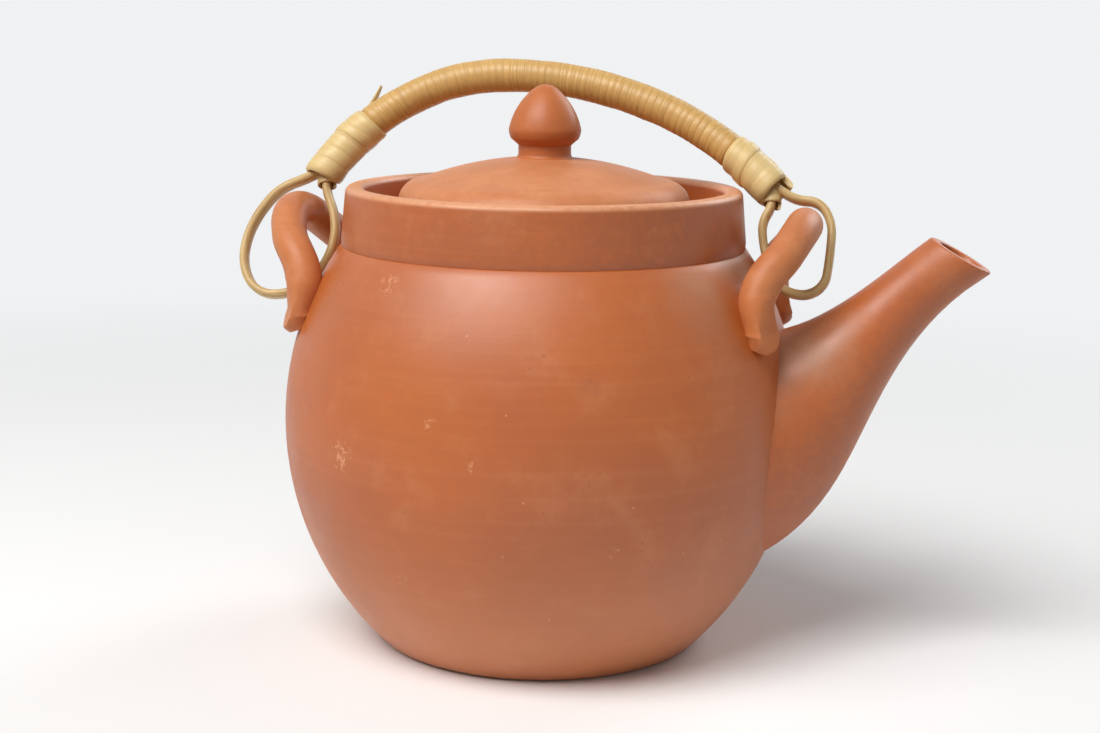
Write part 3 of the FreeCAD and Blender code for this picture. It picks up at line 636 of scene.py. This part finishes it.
# Worn spots, smoky spots with painted shade, and dusty spots: place and reach in millimetres, and the share
# of the tone
BODY_SCUFFS = (((-28.5, -41.3, 43.8), 4.2, 0.75), ((-20.9, -36.2, 74.3), 3.0, 0.6),
               ((-1.4, -50.1, 45.1), 1.6, 0.8), ((-16.5, -42.8, 21.7), 2.0, 0.5),
               ((22.2, -43.0, 29.6), 1.6, 0.7), ((-9.8, -48.7, 51.9), 1.8, 0.5))
# A small smoky mark, and painted shade over the lower right side of the body
BODY_SMOKE_AND_SHADE = (((17.6, -44.7, 59.7), 3.2, 0.4), ((47.0, -20.0, 24.0), 30.0, 0.22))
BODY_DUST = (((38.5, -11.0, 77.0), 12.0, 0.65), ((33.9, -26.1, 72.4), 10.0, 0.3))
# Painted shade on the collar's right side, and a darker tone over its front
COLLAR_SHADE_AND_TONE = (((30.0, -25.0, 84.0), 30.0, 0.6), ((0.0, -38.0, 84.0), 44.0, 0.4))
SPOUT_DUST = (((51.0, -7.0, 63.0), 13.0, 0.5), ((46.0, -16.0, 55.0), 10.0, 0.2))
# Painted shade under the spout and over its middle
SPOUT_SHADE = (((60.0, -14.0, 34.0), 30.0, 0.45), ((70.0, -6.0, 66.0), 26.0, 0.35))
SPOUT_SCUFFS = (((84.0, -3.0, 81.0), 4.0, 0.35),)
LUG_DUST = (((46.0, -12.0, 62.0), 7.0, 0.3),)
POT_SIDES = 160


class TEAPOT_OT_body(bpy.types.Operator):
    """Clay body with its flat foot, its inside and the hole behind the spout"""
    bl_idname = "teapot.body"
    bl_label = "Clay body"

    def execute(self, context):
        pot = context.scene.pot_sizes
        foot_top = 0.7 * MM
        foot_round = [(1.1 * MM, 0), (0.35 * MM, 0.2 * MM)]
        groove = 0.16 * MM
        profile = [(0, 0)] + [(pot.base_radius - inset, height) for inset, height in foot_round]
        profile += skin_points(pot, foot_top, pot.belly_height, 34)
        profile += skin_points(pot, pot.belly_height, pot.shoulder_height - groove, 28)[1:]
        profile.append((pot.shoulder_radius - groove, pot.shoulder_height))
        inner = skin_points(pot, pot.floor, pot.belly_height, 20, pot.wall)
        inner += skin_points(pot, pot.belly_height, pot.shoulder_height, 18, pot.wall)[1:]
        profile += reversed(inner)
        profile += [(inner[0][0] - 2 * MM, pot.floor), (0, pot.floor)]
        piece = turned("clay_body", profile, POT_SIDES)
        hole = drill("pour_cut", pot.pour_hole, 4 * pot.wall,
                     (pot.belly_radius - pot.wall, 0, pot.pour_hole_height), (0, math.pi / 2, 0))
        smooth(cut_away(piece, hole), 35)
        # Painted bounce light low on the body, and painted shade among the smoky spots
        finish = clay_finish("fired_clay_body", context.scene.teapot_colours, painted_bounce=(4 * MM, 36 * MM, 0.28),
                             scuffs=BODY_SCUFFS, smoke_and_shade=BODY_SMOKE_AND_SHADE, dust=BODY_DUST)
        dress(piece, finish, "pot", "clay", "base_disc", "lower_body", "upper_body")
        return {"FINISHED"}


class TEAPOT_OT_collar(bpy.types.Operator):
    """Upright clay collar with a rounded lip, paler at its top from wear and a painted highlight"""
    bl_idname = "teapot.collar"
    bl_label = "Collar"

    def execute(self, context):
        pot = context.scene.pot_sizes
        bore = pot.lip_radius - pot.collar_wall
        groove = 0.12 * MM
        foot_inset = 0.2 * MM
        foot = pot.shoulder_height + 2 * groove
        edge = pot.lip_height - pot.lip_round
        profile = [(bore, pot.shoulder_height), (pot.shoulder_radius - 2 * groove, pot.shoulder_height),
                   (pot.shoulder_radius - foot_inset, pot.shoulder_height + groove)]
        steps = 8
        for i in range(1, steps + 1):
            share = i / steps
            profile.append((pot.shoulder_radius + (pot.lip_radius - pot.shoulder_radius) * share,
                            foot + (edge - foot) * share))
        profile += arc(profile[-1], (pot.lip_radius - pot.lip_round, pot.lip_height), pot.lip_round, 1, 6)
        profile.append((bore + pot.lip_round, pot.lip_height))
        profile += arc(profile[-1], (bore, edge), pot.lip_round, 1, 6)
        profile.append(profile[0])
        piece = turned("clay_collar", profile, POT_SIDES)
        # The paler band at the lip's top is wear plus a painted highlight
        worn_lit_rim = (pot.lip_height - 1.3 * MM, pot.lip_height - 0.35 * MM)
        finish = clay_finish("fired_clay_collar", context.scene.teapot_colours, rim=worn_lit_rim,
                             smoke_and_shade=COLLAR_SHADE_AND_TONE, lines=1.3)
        dress(piece, finish, "pot", "clay", "collar")
        return {"FINISHED"}


def dome_height(pot, radius, inset=0.0):
    """Height of the lid's dome at a radius, or of a dome inset below it."""
    return pot.lid_crown - pot.lid_dome + math.sqrt((pot.lid_dome - inset) ** 2 - radius ** 2)


def lid_profile(pot):
    """Profile of the lid, round its section from the seat."""
    chamfer = 0.5 * MM
    shoulder = pot.lid_radius - pot.lid_edge
    shoulder_top = dome_height(pot, shoulder)
    profile = [(pot.lid_bore, pot.lid_seat), (pot.lid_radius - chamfer, pot.lid_seat),
               (pot.lid_radius, pot.lid_seat + chamfer), (pot.lid_radius, shoulder_top - pot.lid_edge)]
    profile += arc(profile[-1], (shoulder, shoulder_top), pot.lid_edge, 1, 10)
    profile += arc(profile[-1], (0, pot.lid_crown), pot.lid_dome, 1, 18)
    profile.append((0, pot.lid_crown - pot.lid_wall))
    under = (pot.lid_bore, dome_height(pot, pot.lid_bore, pot.lid_wall))
    profile += arc(profile[-1], under, pot.lid_dome - pot.lid_wall, -1, 12)
    profile.append(profile[0])
    return profile


def knob_profile(pot):
    """Profile of the acorn knob, from the dome that it stands on to its tip."""
    neck = 5.1 * MM
    neck_top = pot.lid_crown + 2.4 * MM
    fillet = 0.75 * MM
    sunk = 0.6 * MM
    edge = 6.5 * MM
    widest = (7.0 * MM, pot.lid_crown + 5.2 * MM)
    tip_edge = (2.3 * MM, pot.knob_tip - 0.85 * MM)
    foot = dome_height(pot, neck)
    profile = [(0, foot - sunk), (neck + fillet, foot - sunk), (neck + fillet, foot - 0.12 * MM)]
    profile += arc(profile[-1], (neck, foot + 0.8 * MM), 1.0 * MM, -1, 5)
    profile += [(neck, neck_top - 0.2 * MM), (neck + 0.2 * MM, neck_top)]
    profile += [(edge - 0.25 * MM, neck_top + 0.82 * MM), (edge, neck_top + 1.0 * MM)]
    profile += arc(profile[-1], widest, 4.0 * MM, 1, 6)
    profile += arc(profile[-1], tip_edge, 13.5 * MM, 1, 18)
    profile += arc(profile[-1], (0, pot.knob_tip), 3.54 * MM, 1, 6)
    return profile


class TEAPOT_OT_lid(bpy.types.Operator):
    """Flat domed lid with a vent hole, and its acorn knob"""
    bl_idname = "teapot.lid"
    bl_label = "Lid and knob"

    def execute(self, context):
        pot = context.scene.pot_sizes
        colours = context.scene.teapot_colours
        lid = turned("clay_lid", lid_profile(pot), 128)
        vent = drill("vent_cut", pot.vent_radius, 4 * pot.lid_wall, (0, pot.vent_place, pot.lid_crown))
        smooth(cut_away(lid, vent), 35)
        finish = clay_finish("fired_clay_lid", colours, pale_share=0.62, lines=0.6, gloss=0.32)
        dress(lid, finish, "lid", "clay", "lid_dome")
        knob = turned("clay_knob", knob_profile(pot), 96)
        finish = clay_finish("fired_clay_knob", colours, pale_share=0.2, lines=0.5, gloss=0.36)
        dress(knob, finish, "lid", "clay", "knob")
        return {"FINISHED"}


# How fast the spout narrows and turns from its root, and how closely its rings stand there
SPOUT_FLARE = 2.43
SPOUT_TURN = 7.0
ROOT_CROWDING = 1.5
SPOUT_STEPS = 24


Ring = namedtuple("Ring", "place slant tall wide")


def rising(angle):
    """Direction in the spout's plane, away from the pot and up by an angle."""
    return Vector((math.cos(angle), 0, math.sin(angle)))


def spout_rings(spout, inset):
    """Rings of the spout from root to mouth, with half heights and half widths."""
    root = Vector((spout.root_reach, 0, spout.root_height))
    tip = Vector((spout.tip_reach, 0, spout.tip_height))
    third = (tip - root).length / 3
    first = root + rising(spout.rise_angle) * third
    last = tip - rising(spout.tip_angle) * third
    fine_steps = 10 * SPOUT_STEPS
    fine = interpolate_bezier(root, first, last, tip, fine_steps + 1)
    shares = [(i / SPOUT_STEPS) ** ROOT_CROWDING for i in range(SPOUT_STEPS + 1)]
    places = [fine[round(fine_steps * share)] for share in shares]
    strides = [(b - a).length for a, b in zip(places, places[1:])]
    rings = []
    for i, place in enumerate(places):
        left = sum(strides[i:]) / sum(strides)
        swell = left ** SPOUT_FLARE
        tall = spout.tip_size + (spout.root_tall - spout.tip_size) * swell
        wide = spout.tip_size + (spout.root_wide - spout.tip_size) * swell
        slant = spout.tip_angle + (spout.root_angle - spout.tip_angle) * left ** SPOUT_TURN
        rings.append(Ring(place, slant, tall / 2 - inset, wide / 2 - inset))
    mouth = rings[-1]
    cut_tall = mouth.tall / math.cos(spout.mouth_angle - mouth.slant)
    rings[-1] = mouth._replace(slant=spout.mouth_angle, tall=cut_tall)
    return rings


def ring_up(ring):
    """Upward direction in a ring's plane."""
    return Vector((-math.sin(ring.slant), 0, math.cos(ring.slant)))


def ring_turn(ring, spot):
    """How far round a ring a spot lies."""
    away = spot - ring.place
    return math.atan2(away.y / ring.wide, ring_up(ring).dot(away) / ring.tall)


def on_ring(ring, turn):
    """Spot on a ring after a turn from its top."""
    across = Vector((0, ring.wide * math.sin(turn), 0))
    return ring.place + ring_up(ring) * (ring.tall * math.cos(turn)) + across


class TEAPOT_OT_spout(bpy.types.Operator):
    """Hollow spout with a slanted mouth, set on the body"""
    bl_idname = "teapot.spout"
    bl_label = "Spout"

    def execute(self, context):
        pot = context.scene.pot_sizes
        spout = context.scene.spout_sizes
        rings = spout_rings(spout, 0.0)
        rings += reversed(spout_rings(spout, spout.spout_wall))
        root = rings[0]
        deselect()
        bpy.ops.mesh.primitive_plane_add(size=MM)
        piece = named("clay_spout")
        bpy.ops.object.mode_set(mode="EDIT")
        bpy.ops.mesh.delete(type="VERT")
        bpy.ops.mesh.primitive_circle_add(vertices=64, radius=root.wide, location=root.place,
                                          rotation=(0, -math.pi / 2 - root.slant, 0))
        for now, after in zip(rings[:1] + rings, rings + rings[:1]):
            if now is not after:
                bpy.ops.mesh.extrude_region_move()
            mesh = bmesh.from_edit_mesh(piece.data)
            for vertex in mesh.verts:
                if vertex.select:
                    vertex.co = on_ring(after, ring_turn(now, vertex.co))
            bmesh.update_edit_mesh(piece.data)
        mouth = rising(spout.mouth_angle)
        tip = Vector((spout.tip_reach, 0, spout.tip_height))
        longest_rim_edge = 1.2 * MM

        def on_rim(edge):
            flat = all(abs((v.co - tip).dot(mouth)) < MERGE for v in edge.verts)
            return flat and edge.calc_length() < longest_rim_edge

        select_edges(piece, on_rim)
        bpy.ops.mesh.bevel(offset=0.45 * MM, segments=3, affect="EDGES")
        bpy.ops.object.mode_set(mode="OBJECT")
        finish_mesh(piece, 40)
        sunk = 1.2 * MM
        profile = [(0, 0)] + skin_points(pot, 1.5 * MM, pot.belly_height, 40, sunk)
        profile += skin_points(pot, pot.belly_height, pot.shoulder_height, 34, sunk)[1:]
        profile.append((0, pot.shoulder_height))
        cut_away(piece, turned("body_cut", profile, POT_SIDES))
        finish_mesh(piece, 40)
        finish = clay_finish("fired_clay_spout", context.scene.teapot_colours, lines=0.25, dust=SPOUT_DUST,
                             smoke_and_shade=SPOUT_SHADE, scuffs=SPOUT_SCUFFS)
        dress(piece, finish, "pot", "clay", "spout")
        return {"FINISHED"}


# A thumb's press on a lug's foot: its height, how far up it fades, its direction and the clay left
PRESS_HEIGHT = 3.0 * MM
PRESS_FADE = 6.0 * MM
PRESS_WAY = (0.86, 0.40, 0.31)
PRESS_LEFT = 2.1 * MM
UPPER_LEG = (48.0 * MM, 11.0 * MM, 79.6 * MM)


def press_foot(vertex, spout, foot_reach):
    """Flattens the outer face of a lug's foot, as a thumb does."""
    share = (spout.knee_height - vertex.co.z) / PRESS_FADE
    share = max(0.0, min(1.0, share))
    side = math.copysign(1, vertex.co.x)
    hand = math.copysign(1, vertex.co.y)
    out, across, up = PRESS_WAY
    face = Vector((out * side, across * hand, up))
    foot = Vector((foot_reach * side, spout.lug_span * hand, spout.lug_foot + PRESS_HEIGHT))
    proud = (vertex.co - foot).dot(face) - PRESS_LEFT
    if proud > 0:
        vertex.co -= face * proud * share


def lug_knots(spout, foot_reach, side):
    """Places and thicknesses along a lug, up one leg and down the other."""
    leg = [((foot_reach - 0.6 * MM, spout.lug_span, spout.lug_foot + 0.6 * MM), 0.70),
           ((foot_reach + 0.3 * MM, spout.lug_span, spout.lug_foot + PRESS_HEIGHT), 1.06),
           ((spout.knee_reach, spout.knee_span, spout.knee_height), 1.0),
           (UPPER_LEG, 0.98)]
    near_leg = [((side * x, -y, z), size) for (x, y, z), size in leg]
    far_leg = [((side * x, y, z), size) for (x, y, z), size in reversed(leg)]
    return near_leg + [((side * spout.lug_reach, 0, spout.lug_height), 1.0)] + far_leg


class TEAPOT_OT_lugs(bpy.types.Operator):
    """Two rolled clay arches with pressed feet"""
    bl_idname = "teapot.lugs"
    bl_label = "Lugs"

    def execute(self, context):
        pot = context.scene.pot_sizes
        spout = context.scene.spout_sizes
        finish = clay_finish("fired_clay_lugs", context.scene.teapot_colours, lines=0.0, pale_share=0.42,
                             gloss=0.3, dust=LUG_DUST)
        skin = skin_radius(pot, spout.lug_foot)
        foot_reach = math.sqrt(skin ** 2 - spout.lug_span ** 2)
        for name, node, side in (("spout_side_arch", "spout_side_lug", 1), ("rear_arch", "rear_lug", -1)):
            knots = lug_knots(spout, foot_reach, side)
            deselect()
            bpy.ops.curve.primitive_bezier_curve_add()
            piece = named(name)
            piece.data.dimensions = "3D"
            piece.data.bevel_depth = spout.lug_thickness / 2
            piece.data.bevel_resolution = 10
            piece.data.use_fill_caps = True
            piece.data.resolution_u = 26
            spline = piece.data.splines[0]
            spline.bezier_points.add(len(knots) - len(spline.bezier_points))
            for knot, (place, size) in zip(spline.bezier_points, knots):
                knot.co = place
                knot.radius = size
                knot.handle_left_type = "AUTO"
                knot.handle_right_type = "AUTO"
            bpy.ops.object.convert(target="MESH")
            piece = named(name)
            for vertex in piece.data.vertices:
                press_foot(vertex, spout, foot_reach)
            finish_mesh(piece, 35)
            dress(piece, finish, "pot", "clay", node)
        return {"FINISHED"}


# Places in the bail's plane, in millimetres along +X and up from the swing axis, and slopes in degrees
REAR_END = Vector((-46.6, 20.6))
FRONT_END = Vector((43.0, 19.6))
REAR_SLOPE = 60
FRONT_SLOPE = -46
ROD_STATIONS = [(REAR_END, heading(REAR_SLOPE)), (Vector((-10.6, 41.9)), heading(0)),
                (FRONT_END, heading(FRONT_SLOPE))]
FRONT_INSIDE = Vector((42.05, 10.4))
REAR_INSIDE = Vector((-43.5, 9.0))
REAR_TURNS = 5
FRONT_TURNS = 4


def strand(place, way, outward, splay, bend=2.9, ply=0.75):
    """First bend of a strand that leaves the rod's end: way and outward are slopes in degrees."""
    side = heading(outward)
    root = place + side * ply
    turn = math.radians(splay)
    mid = root + (heading(way) * math.sin(turn) + side * (1 - math.cos(turn))) * bend
    there = heading(way) * math.cos(turn) + side * math.sin(turn)
    return [(root, heading(way)), (mid, there)]


def backwards(stations):
    """The same stations, followed the other way."""
    return [(place, way * -1) for place, way in reversed(stations)]


class TEAPOT_OT_wraps(bpy.types.Operator):
    """Cane wound round the bail: the close grip, the two bindings and a band on each"""
    bl_idname = "teapot.wraps"
    bl_label = "Grip and bindings"

    def execute(self, context):
        bail = context.scene.bail_sizes
        colours = context.scene.teapot_colours
        grip_cane = cane_finish("wrapping_cane", colours.cane, colours.cane_dark, 0.4)
        binding_cane = cane_finish("binding_cane", colours.cane_pale, colours.cane, 0.5)
        line = cane_line("rod_line", ROD_STATIONS)
        long = line.data.splines[0].calc_length()
        overhang = 0.7 * MM
        rear_edge = bail.rear_length - overhang
        front_edge = long - bail.front_length + overhang
        grip_from = rear_edge + 0.6 * MM
        grip_turns = int((front_edge - 1.0 * MM - grip_from) / bail.wrap_pitch)
        grip = (bail.rod / 2 + 0.42 * MM, bail.wrap_width, bail.wrap_thick)
        reach = bail.rod / 2 + 0.72 * MM
        binding = (reach, bail.binding_width, bail.binding_thick)
        band = (reach + 0.42 * MM, 2.6 * MM, 0.75 * MM)
        for name, nodes, finish, start, turns, pitch, strip, seed in (
                ("cane_grip", ["grip_wrap"], grip_cane, grip_from, grip_turns, bail.wrap_pitch, grip, 0.31),
                ("rear_cane_binding", ["rear_binding"], binding_cane, -overhang, REAR_TURNS,
                 bail.rear_length / REAR_TURNS, binding, 0.57),
                ("front_cane_binding", ["spout_side_binding"], binding_cane, front_edge, FRONT_TURNS,
                 bail.front_length / FRONT_TURNS, binding, 0.83),
                ("rear_cane_band", [], binding_cane, rear_edge - 5.6 * MM, 1, 4.2 * MM, band, 0.41),
                ("front_cane_band", [], binding_cane, front_edge + 1.2 * MM, 1, 4.6 * MM, band, 0.29)):
            piece = winding(name, start, turns, pitch, *strip, seed)
            smooth(lay_on(piece, line, bail), 60)
            dress(piece, finish, "bail", "cane", *nodes)
        bpy.data.objects.remove(line)
        return {"FINISHED"}


class TEAPOT_OT_loops(bpy.types.Operator):
    """Flat cane loops through the lugs, a ring on each, and the pointed end of the wrapping strip"""
    bl_idname = "teapot.loops"
    bl_label = "Loops and tail"

    def execute(self, context):
        bail = context.scene.bail_sizes
        colours = context.scene.teapot_colours
        cane = cane_finish("loop_cane", colours.cane_pale, colours.cane_dark, 0.35)
        front_inner = strand(FRONT_END, FRONT_SLOPE, FRONT_SLOPE - 90, 25)
        front = strand(FRONT_END, FRONT_SLOPE, FRONT_SLOPE + 90, 8)
        front += [(Vector((50.3, 17.05)), heading(0)), (Vector((55.25, 10.4)), heading(270)),
                  (Vector((50.3, -1.8)), heading(180)), (FRONT_INSIDE, heading(97))]
        front += backwards(front_inner)
        rear_way = REAR_SLOPE + 180
        rear_inner = strand(REAR_END, rear_way, rear_way + 90, 25)
        rear = strand(REAR_END, rear_way, rear_way - 90, 28)
        rear += [(Vector((-57.4, 14.2)), heading(232)), (Vector((-61.7, 2.5)), heading(270)),
                 (Vector((-54.6, -6.2)), heading(0)), (REAR_INSIDE, heading(100))]
        rear += backwards(rear_inner)
        tail = [(Vector((-40.9, 31.0)), heading(58)), (Vector((-37.5, 38.9)), heading(72))]
        loop_strip = (bail.loop_width, bail.loop_thick, 95)
        tail_strip = (3.4 * MM, 1.1 * MM, 10, (1.0, 0.3))

        def strip_along(name, node, stations, strip):
            line = cane_line(name + "_line", stations)
            piece = flat_strip(name, line.data.splines[0].calc_length(), *strip)
            smooth(lay_on(piece, line, bail), 60)
            bpy.data.objects.remove(line)
            dress(piece, cane, "bail", "cane", node)

        strip_along("front_cane_loop", "spout_side_loop", front, loop_strip)
        strip_along("rear_cane_loop", "rear_loop", rear, loop_strip)
        front_inner.append((FRONT_INSIDE, heading(277)))
        rear_inner.append((REAR_INSIDE, heading(280)))
        for name, stations, seed in (("front_cane_ring", front_inner, 0.37),
                                     ("rear_cane_ring", rear_inner, 0.71)):
            line = cane_line(name + "_line", stations)
            ring = winding(name, 0.9 * MM, 2, 1.1 * MM, 1.65 * MM, 1.5 * MM, 0.6 * MM, seed)
            smooth(lay_on(ring, line, bail), 60)
            bpy.data.objects.remove(line)
            dress(ring, cane, "bail", "cane")
        strip_along("cane_tail", "rear_wrap_tail", tail, tail_strip)
        return {"FINISHED"}


class TEAPOT_OT_kept_solids(bpy.types.Operator):
    """Finishes of the solids that are shown as they are"""
    bl_idname = "teapot.kept_solids"
    bl_label = "Kept solids"

    def execute(self, context):
        colours = context.scene.teapot_colours
        inner_clay = clay_finish("fired_clay_inside", colours, pale_share=0.1, lines=0.8)
        bare_cane = cane_finish("bare_cane", colours.cane, colours.cane_dark, 0.0, marked=False)
        for node, finish in (("lid_seat_ring", inner_clay), ("lid_neck_ring", inner_clay),
                             ("core_rod", bare_cane)):
            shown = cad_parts[node]
            shown.data.materials.clear()
            shown.data.materials.append(finish)
        return {"FINISHED"}


# Name, place, power in watts, size, height that it is aimed at on the pot's axis, and colour
LAMPS = (
    ("key", (-0.55, -0.50, 0.82), 4.3, 0.60, 0.05, (1.0, 0.985, 0.96)),
    ("sheen", (-0.16, -0.52, 0.86), 6.9, 0.60, 0.05, (1.0, 0.99, 0.97)),
    ("fill", (0.75, -0.75, 0.45), 0.15, 0.8, 0.05, (0.96, 0.98, 1.0)),
    ("window", (0.55, 0.75, 0.60), 3.8, 0.6, 0.03, (0.97, 0.985, 1.0)),
)
FLOOR_SPAN = 6.0
FLOOR_MIDDLE = -1.2
BACKDROP_RISE = 3.0
BACKDROP_BEND = 0.8
SKY_TONE = (1.0, 0.985, 0.965)
SKY_LIGHT = 0.20
SKY_SEEN = 0.90
CAMERA_PLACE = (0.073365, -0.360602, 0.123010)
CAMERA_HEADING = 11.256
CAMERA_TILT = 79.371
CAMERA_ROLL = 0.761
CAMERA_LENS = 62.18


def lamp(name, place, power, size, aim_height, tone):
    """A soft area lamp aimed at the pot's axis."""
    deselect()
    bpy.ops.object.light_add(type="AREA", location=place)
    light = named(name)
    light.data.shape = "DISK"
    light.data.size = size
    light.data.energy = power
    light.data.color = tone
    aim = Vector((0, 0, aim_height)) - Vector(place)
    light.rotation_euler = aim.to_track_quat("-Z", "Y").to_euler()


def backdrop_rays(tree):
    """1 for the rays that show the backdrop: straight, mirrored or through glass."""
    path = put(tree, "LightPath")
    straight = sums(tree, "MAXIMUM", path.outputs["Is Camera Ray"], path.outputs["Is Transmission Ray"])
    return sums(tree, "MAXIMUM", straight, path.outputs["Is Glossy Ray"])


def curved_floor():
    """A floor that bends up into a backdrop."""
    deselect()
    bpy.ops.mesh.primitive_plane_add(size=FLOOR_SPAN, location=(0, FLOOR_MIDDLE, 0))
    floor = named("floor")
    bpy.ops.object.transform_apply(location=True)
    back = FLOOR_MIDDLE + FLOOR_SPAN / 2 - MM
    bpy.ops.object.mode_set(mode="EDIT")
    select_edges(floor, lambda edge: all(v.co.y > back for v in edge.verts))
    bpy.ops.mesh.extrude_region_move(TRANSFORM_OT_translate={"value": (0, 0, BACKDROP_RISE)})
    select_edges(floor, lambda edge: all(v.co.y > back and v.co.z < MM for v in edge.verts))
    bpy.ops.mesh.bevel(offset=BACKDROP_BEND, segments=16, affect="EDGES")
    bpy.ops.object.mode_set(mode="OBJECT")
    return smooth(floor, 60)


def floor_finish(pale):
    """Pale paper under the pot, which turns into an even backdrop further out and casts little light."""
    finish, tree, shader = new_finish("pale_floor")
    place = put(tree, "TexCoord").outputs["Object"]
    far = put(tree, "VectorMath", {0: place}, operation="LENGTH").outputs["Value"]
    seen = backdrop_rays(tree)
    unseen = sums(tree, "SUBTRACT", 1.0, seen)
    layers = [
        (ramp(tree, noise(tree, place, 7, 3), 0.3, 0.7, 0.0, 0.05), solid([c * 0.92 for c in pale])),
        (sums(tree, "MULTIPLY", ramp(tree, far, 0.16, 0.36), unseen), solid([c * 0.08 for c in pale])),
    ]
    tree.links.new(layered(tree, solid(pale), layers), shader.inputs["Base Color"])
    shader.inputs["Roughness"].default_value = 0.85
    shader.inputs["Specular IOR Level"].default_value = 0.2
    glow = put(tree, "Emission", {"Color": solid(pale), "Strength": 0.98})
    fade = sums(tree, "MULTIPLY", ramp(tree, far, 0.15, 0.5), seen)
    both = put(tree, "MixShader", {0: fade, 1: shader.outputs[0], 2: glow.outputs[0]})
    tree.links.new(both.outputs[0], tree.nodes["Material Output"].inputs["Surface"])
    return finish


def studio_sky(scene):
    """A dim even light all round, with a pale backdrop."""
    world = scene.world or bpy.data.worlds.new("studio")
    scene.world = world
    world.use_nodes = True
    tree = world.node_tree
    sky = tree.nodes["Background"]
    sky.inputs["Color"].default_value = solid(SKY_TONE)
    strength = ramp(tree, backdrop_rays(tree), 0.0, 1.0, SKY_LIGHT, SKY_SEEN)
    tree.links.new(strength, sky.inputs["Strength"])


def set_camera(scene):
    """The camera at the photograph's viewing angle."""
    deselect()
    bpy.ops.object.camera_add(location=CAMERA_PLACE)
    camera = named("camera")
    turn = (Matrix.Rotation(math.radians(CAMERA_HEADING), 3, "Z")
            @ Matrix.Rotation(math.radians(CAMERA_TILT), 3, "X")
            @ Matrix.Rotation(math.radians(CAMERA_ROLL), 3, "Z"))
    camera.rotation_euler = turn.to_euler()
    camera.data.sensor_width = 36
    camera.data.lens = CAMERA_LENS
    camera.data.clip_start = 0.01
    scene.camera = camera


class TEAPOT_OT_stage(bpy.types.Operator):
    """Pale floor and backdrop, soft lamps and the camera"""
    bl_idname = "teapot.stage"
    bl_label = "Stage"

    def execute(self, context):
        scene = context.scene
        floor = curved_floor()
        floor.data.materials.append(floor_finish(scene.teapot_colours.floor))
        studio_sky(scene)
        for row in LAMPS:
            lamp(*row)
        set_camera(scene)
        scene.view_settings.view_transform = "Standard"
        return {"FINISHED"}


OPERATORS = (TEAPOT_OT_body, TEAPOT_OT_collar, TEAPOT_OT_lid, TEAPOT_OT_spout, TEAPOT_OT_lugs,
             TEAPOT_OT_wraps, TEAPOT_OT_loops, TEAPOT_OT_kept_solids, TEAPOT_OT_stage)


GROUPS = {"pot_sizes": PotSizes, "spout_sizes": SpoutSizes, "bail_sizes": BailSizes,
          "teapot_colours": TeapotColours}


class TEAPOT_PT_tools(bpy.types.Panel):
    """Pieces, sizes and colours of the teapot"""
    bl_idname = "TEAPOT_PT_tools"
    bl_label = "Clay teapot"
    bl_space_type = "VIEW_3D"
    bl_region_type = "UI"
    bl_category = "Teapot"

    def draw(self, context):
        for operator in OPERATORS:
            self.layout.operator(operator.bl_idname)
        for group_name in GROUPS:
            group = getattr(context.scene, group_name)
            box = self.layout.box()
            for name in group.__annotations__:
                box.prop(group, name)


def register():
    for kind in (*GROUPS.values(), *OPERATORS, TEAPOT_PT_tools):
        bpy.utils.register_class(kind)
    for name, kind in GROUPS.items():
        setattr(bpy.types.Scene, name, bpy.props.PointerProperty(type=kind))


def unregister():
    for name in GROUPS:
        delattr(bpy.types.Scene, name)
    for kind in reversed((*GROUPS.values(), *OPERATORS, TEAPOT_PT_tools)):
        bpy.utils.unregister_class(kind)


def main():
    register()
    bpy.ops.teapot.body()
    bpy.ops.teapot.collar()
    bpy.ops.teapot.lid()
    bpy.ops.teapot.spout()
    bpy.ops.teapot.lugs()
    bpy.ops.teapot.wraps()
    bpy.ops.teapot.loops()
    bpy.ops.teapot.kept_solids()
    bpy.ops.teapot.stage()


if __name__ == "__main__":
    main()
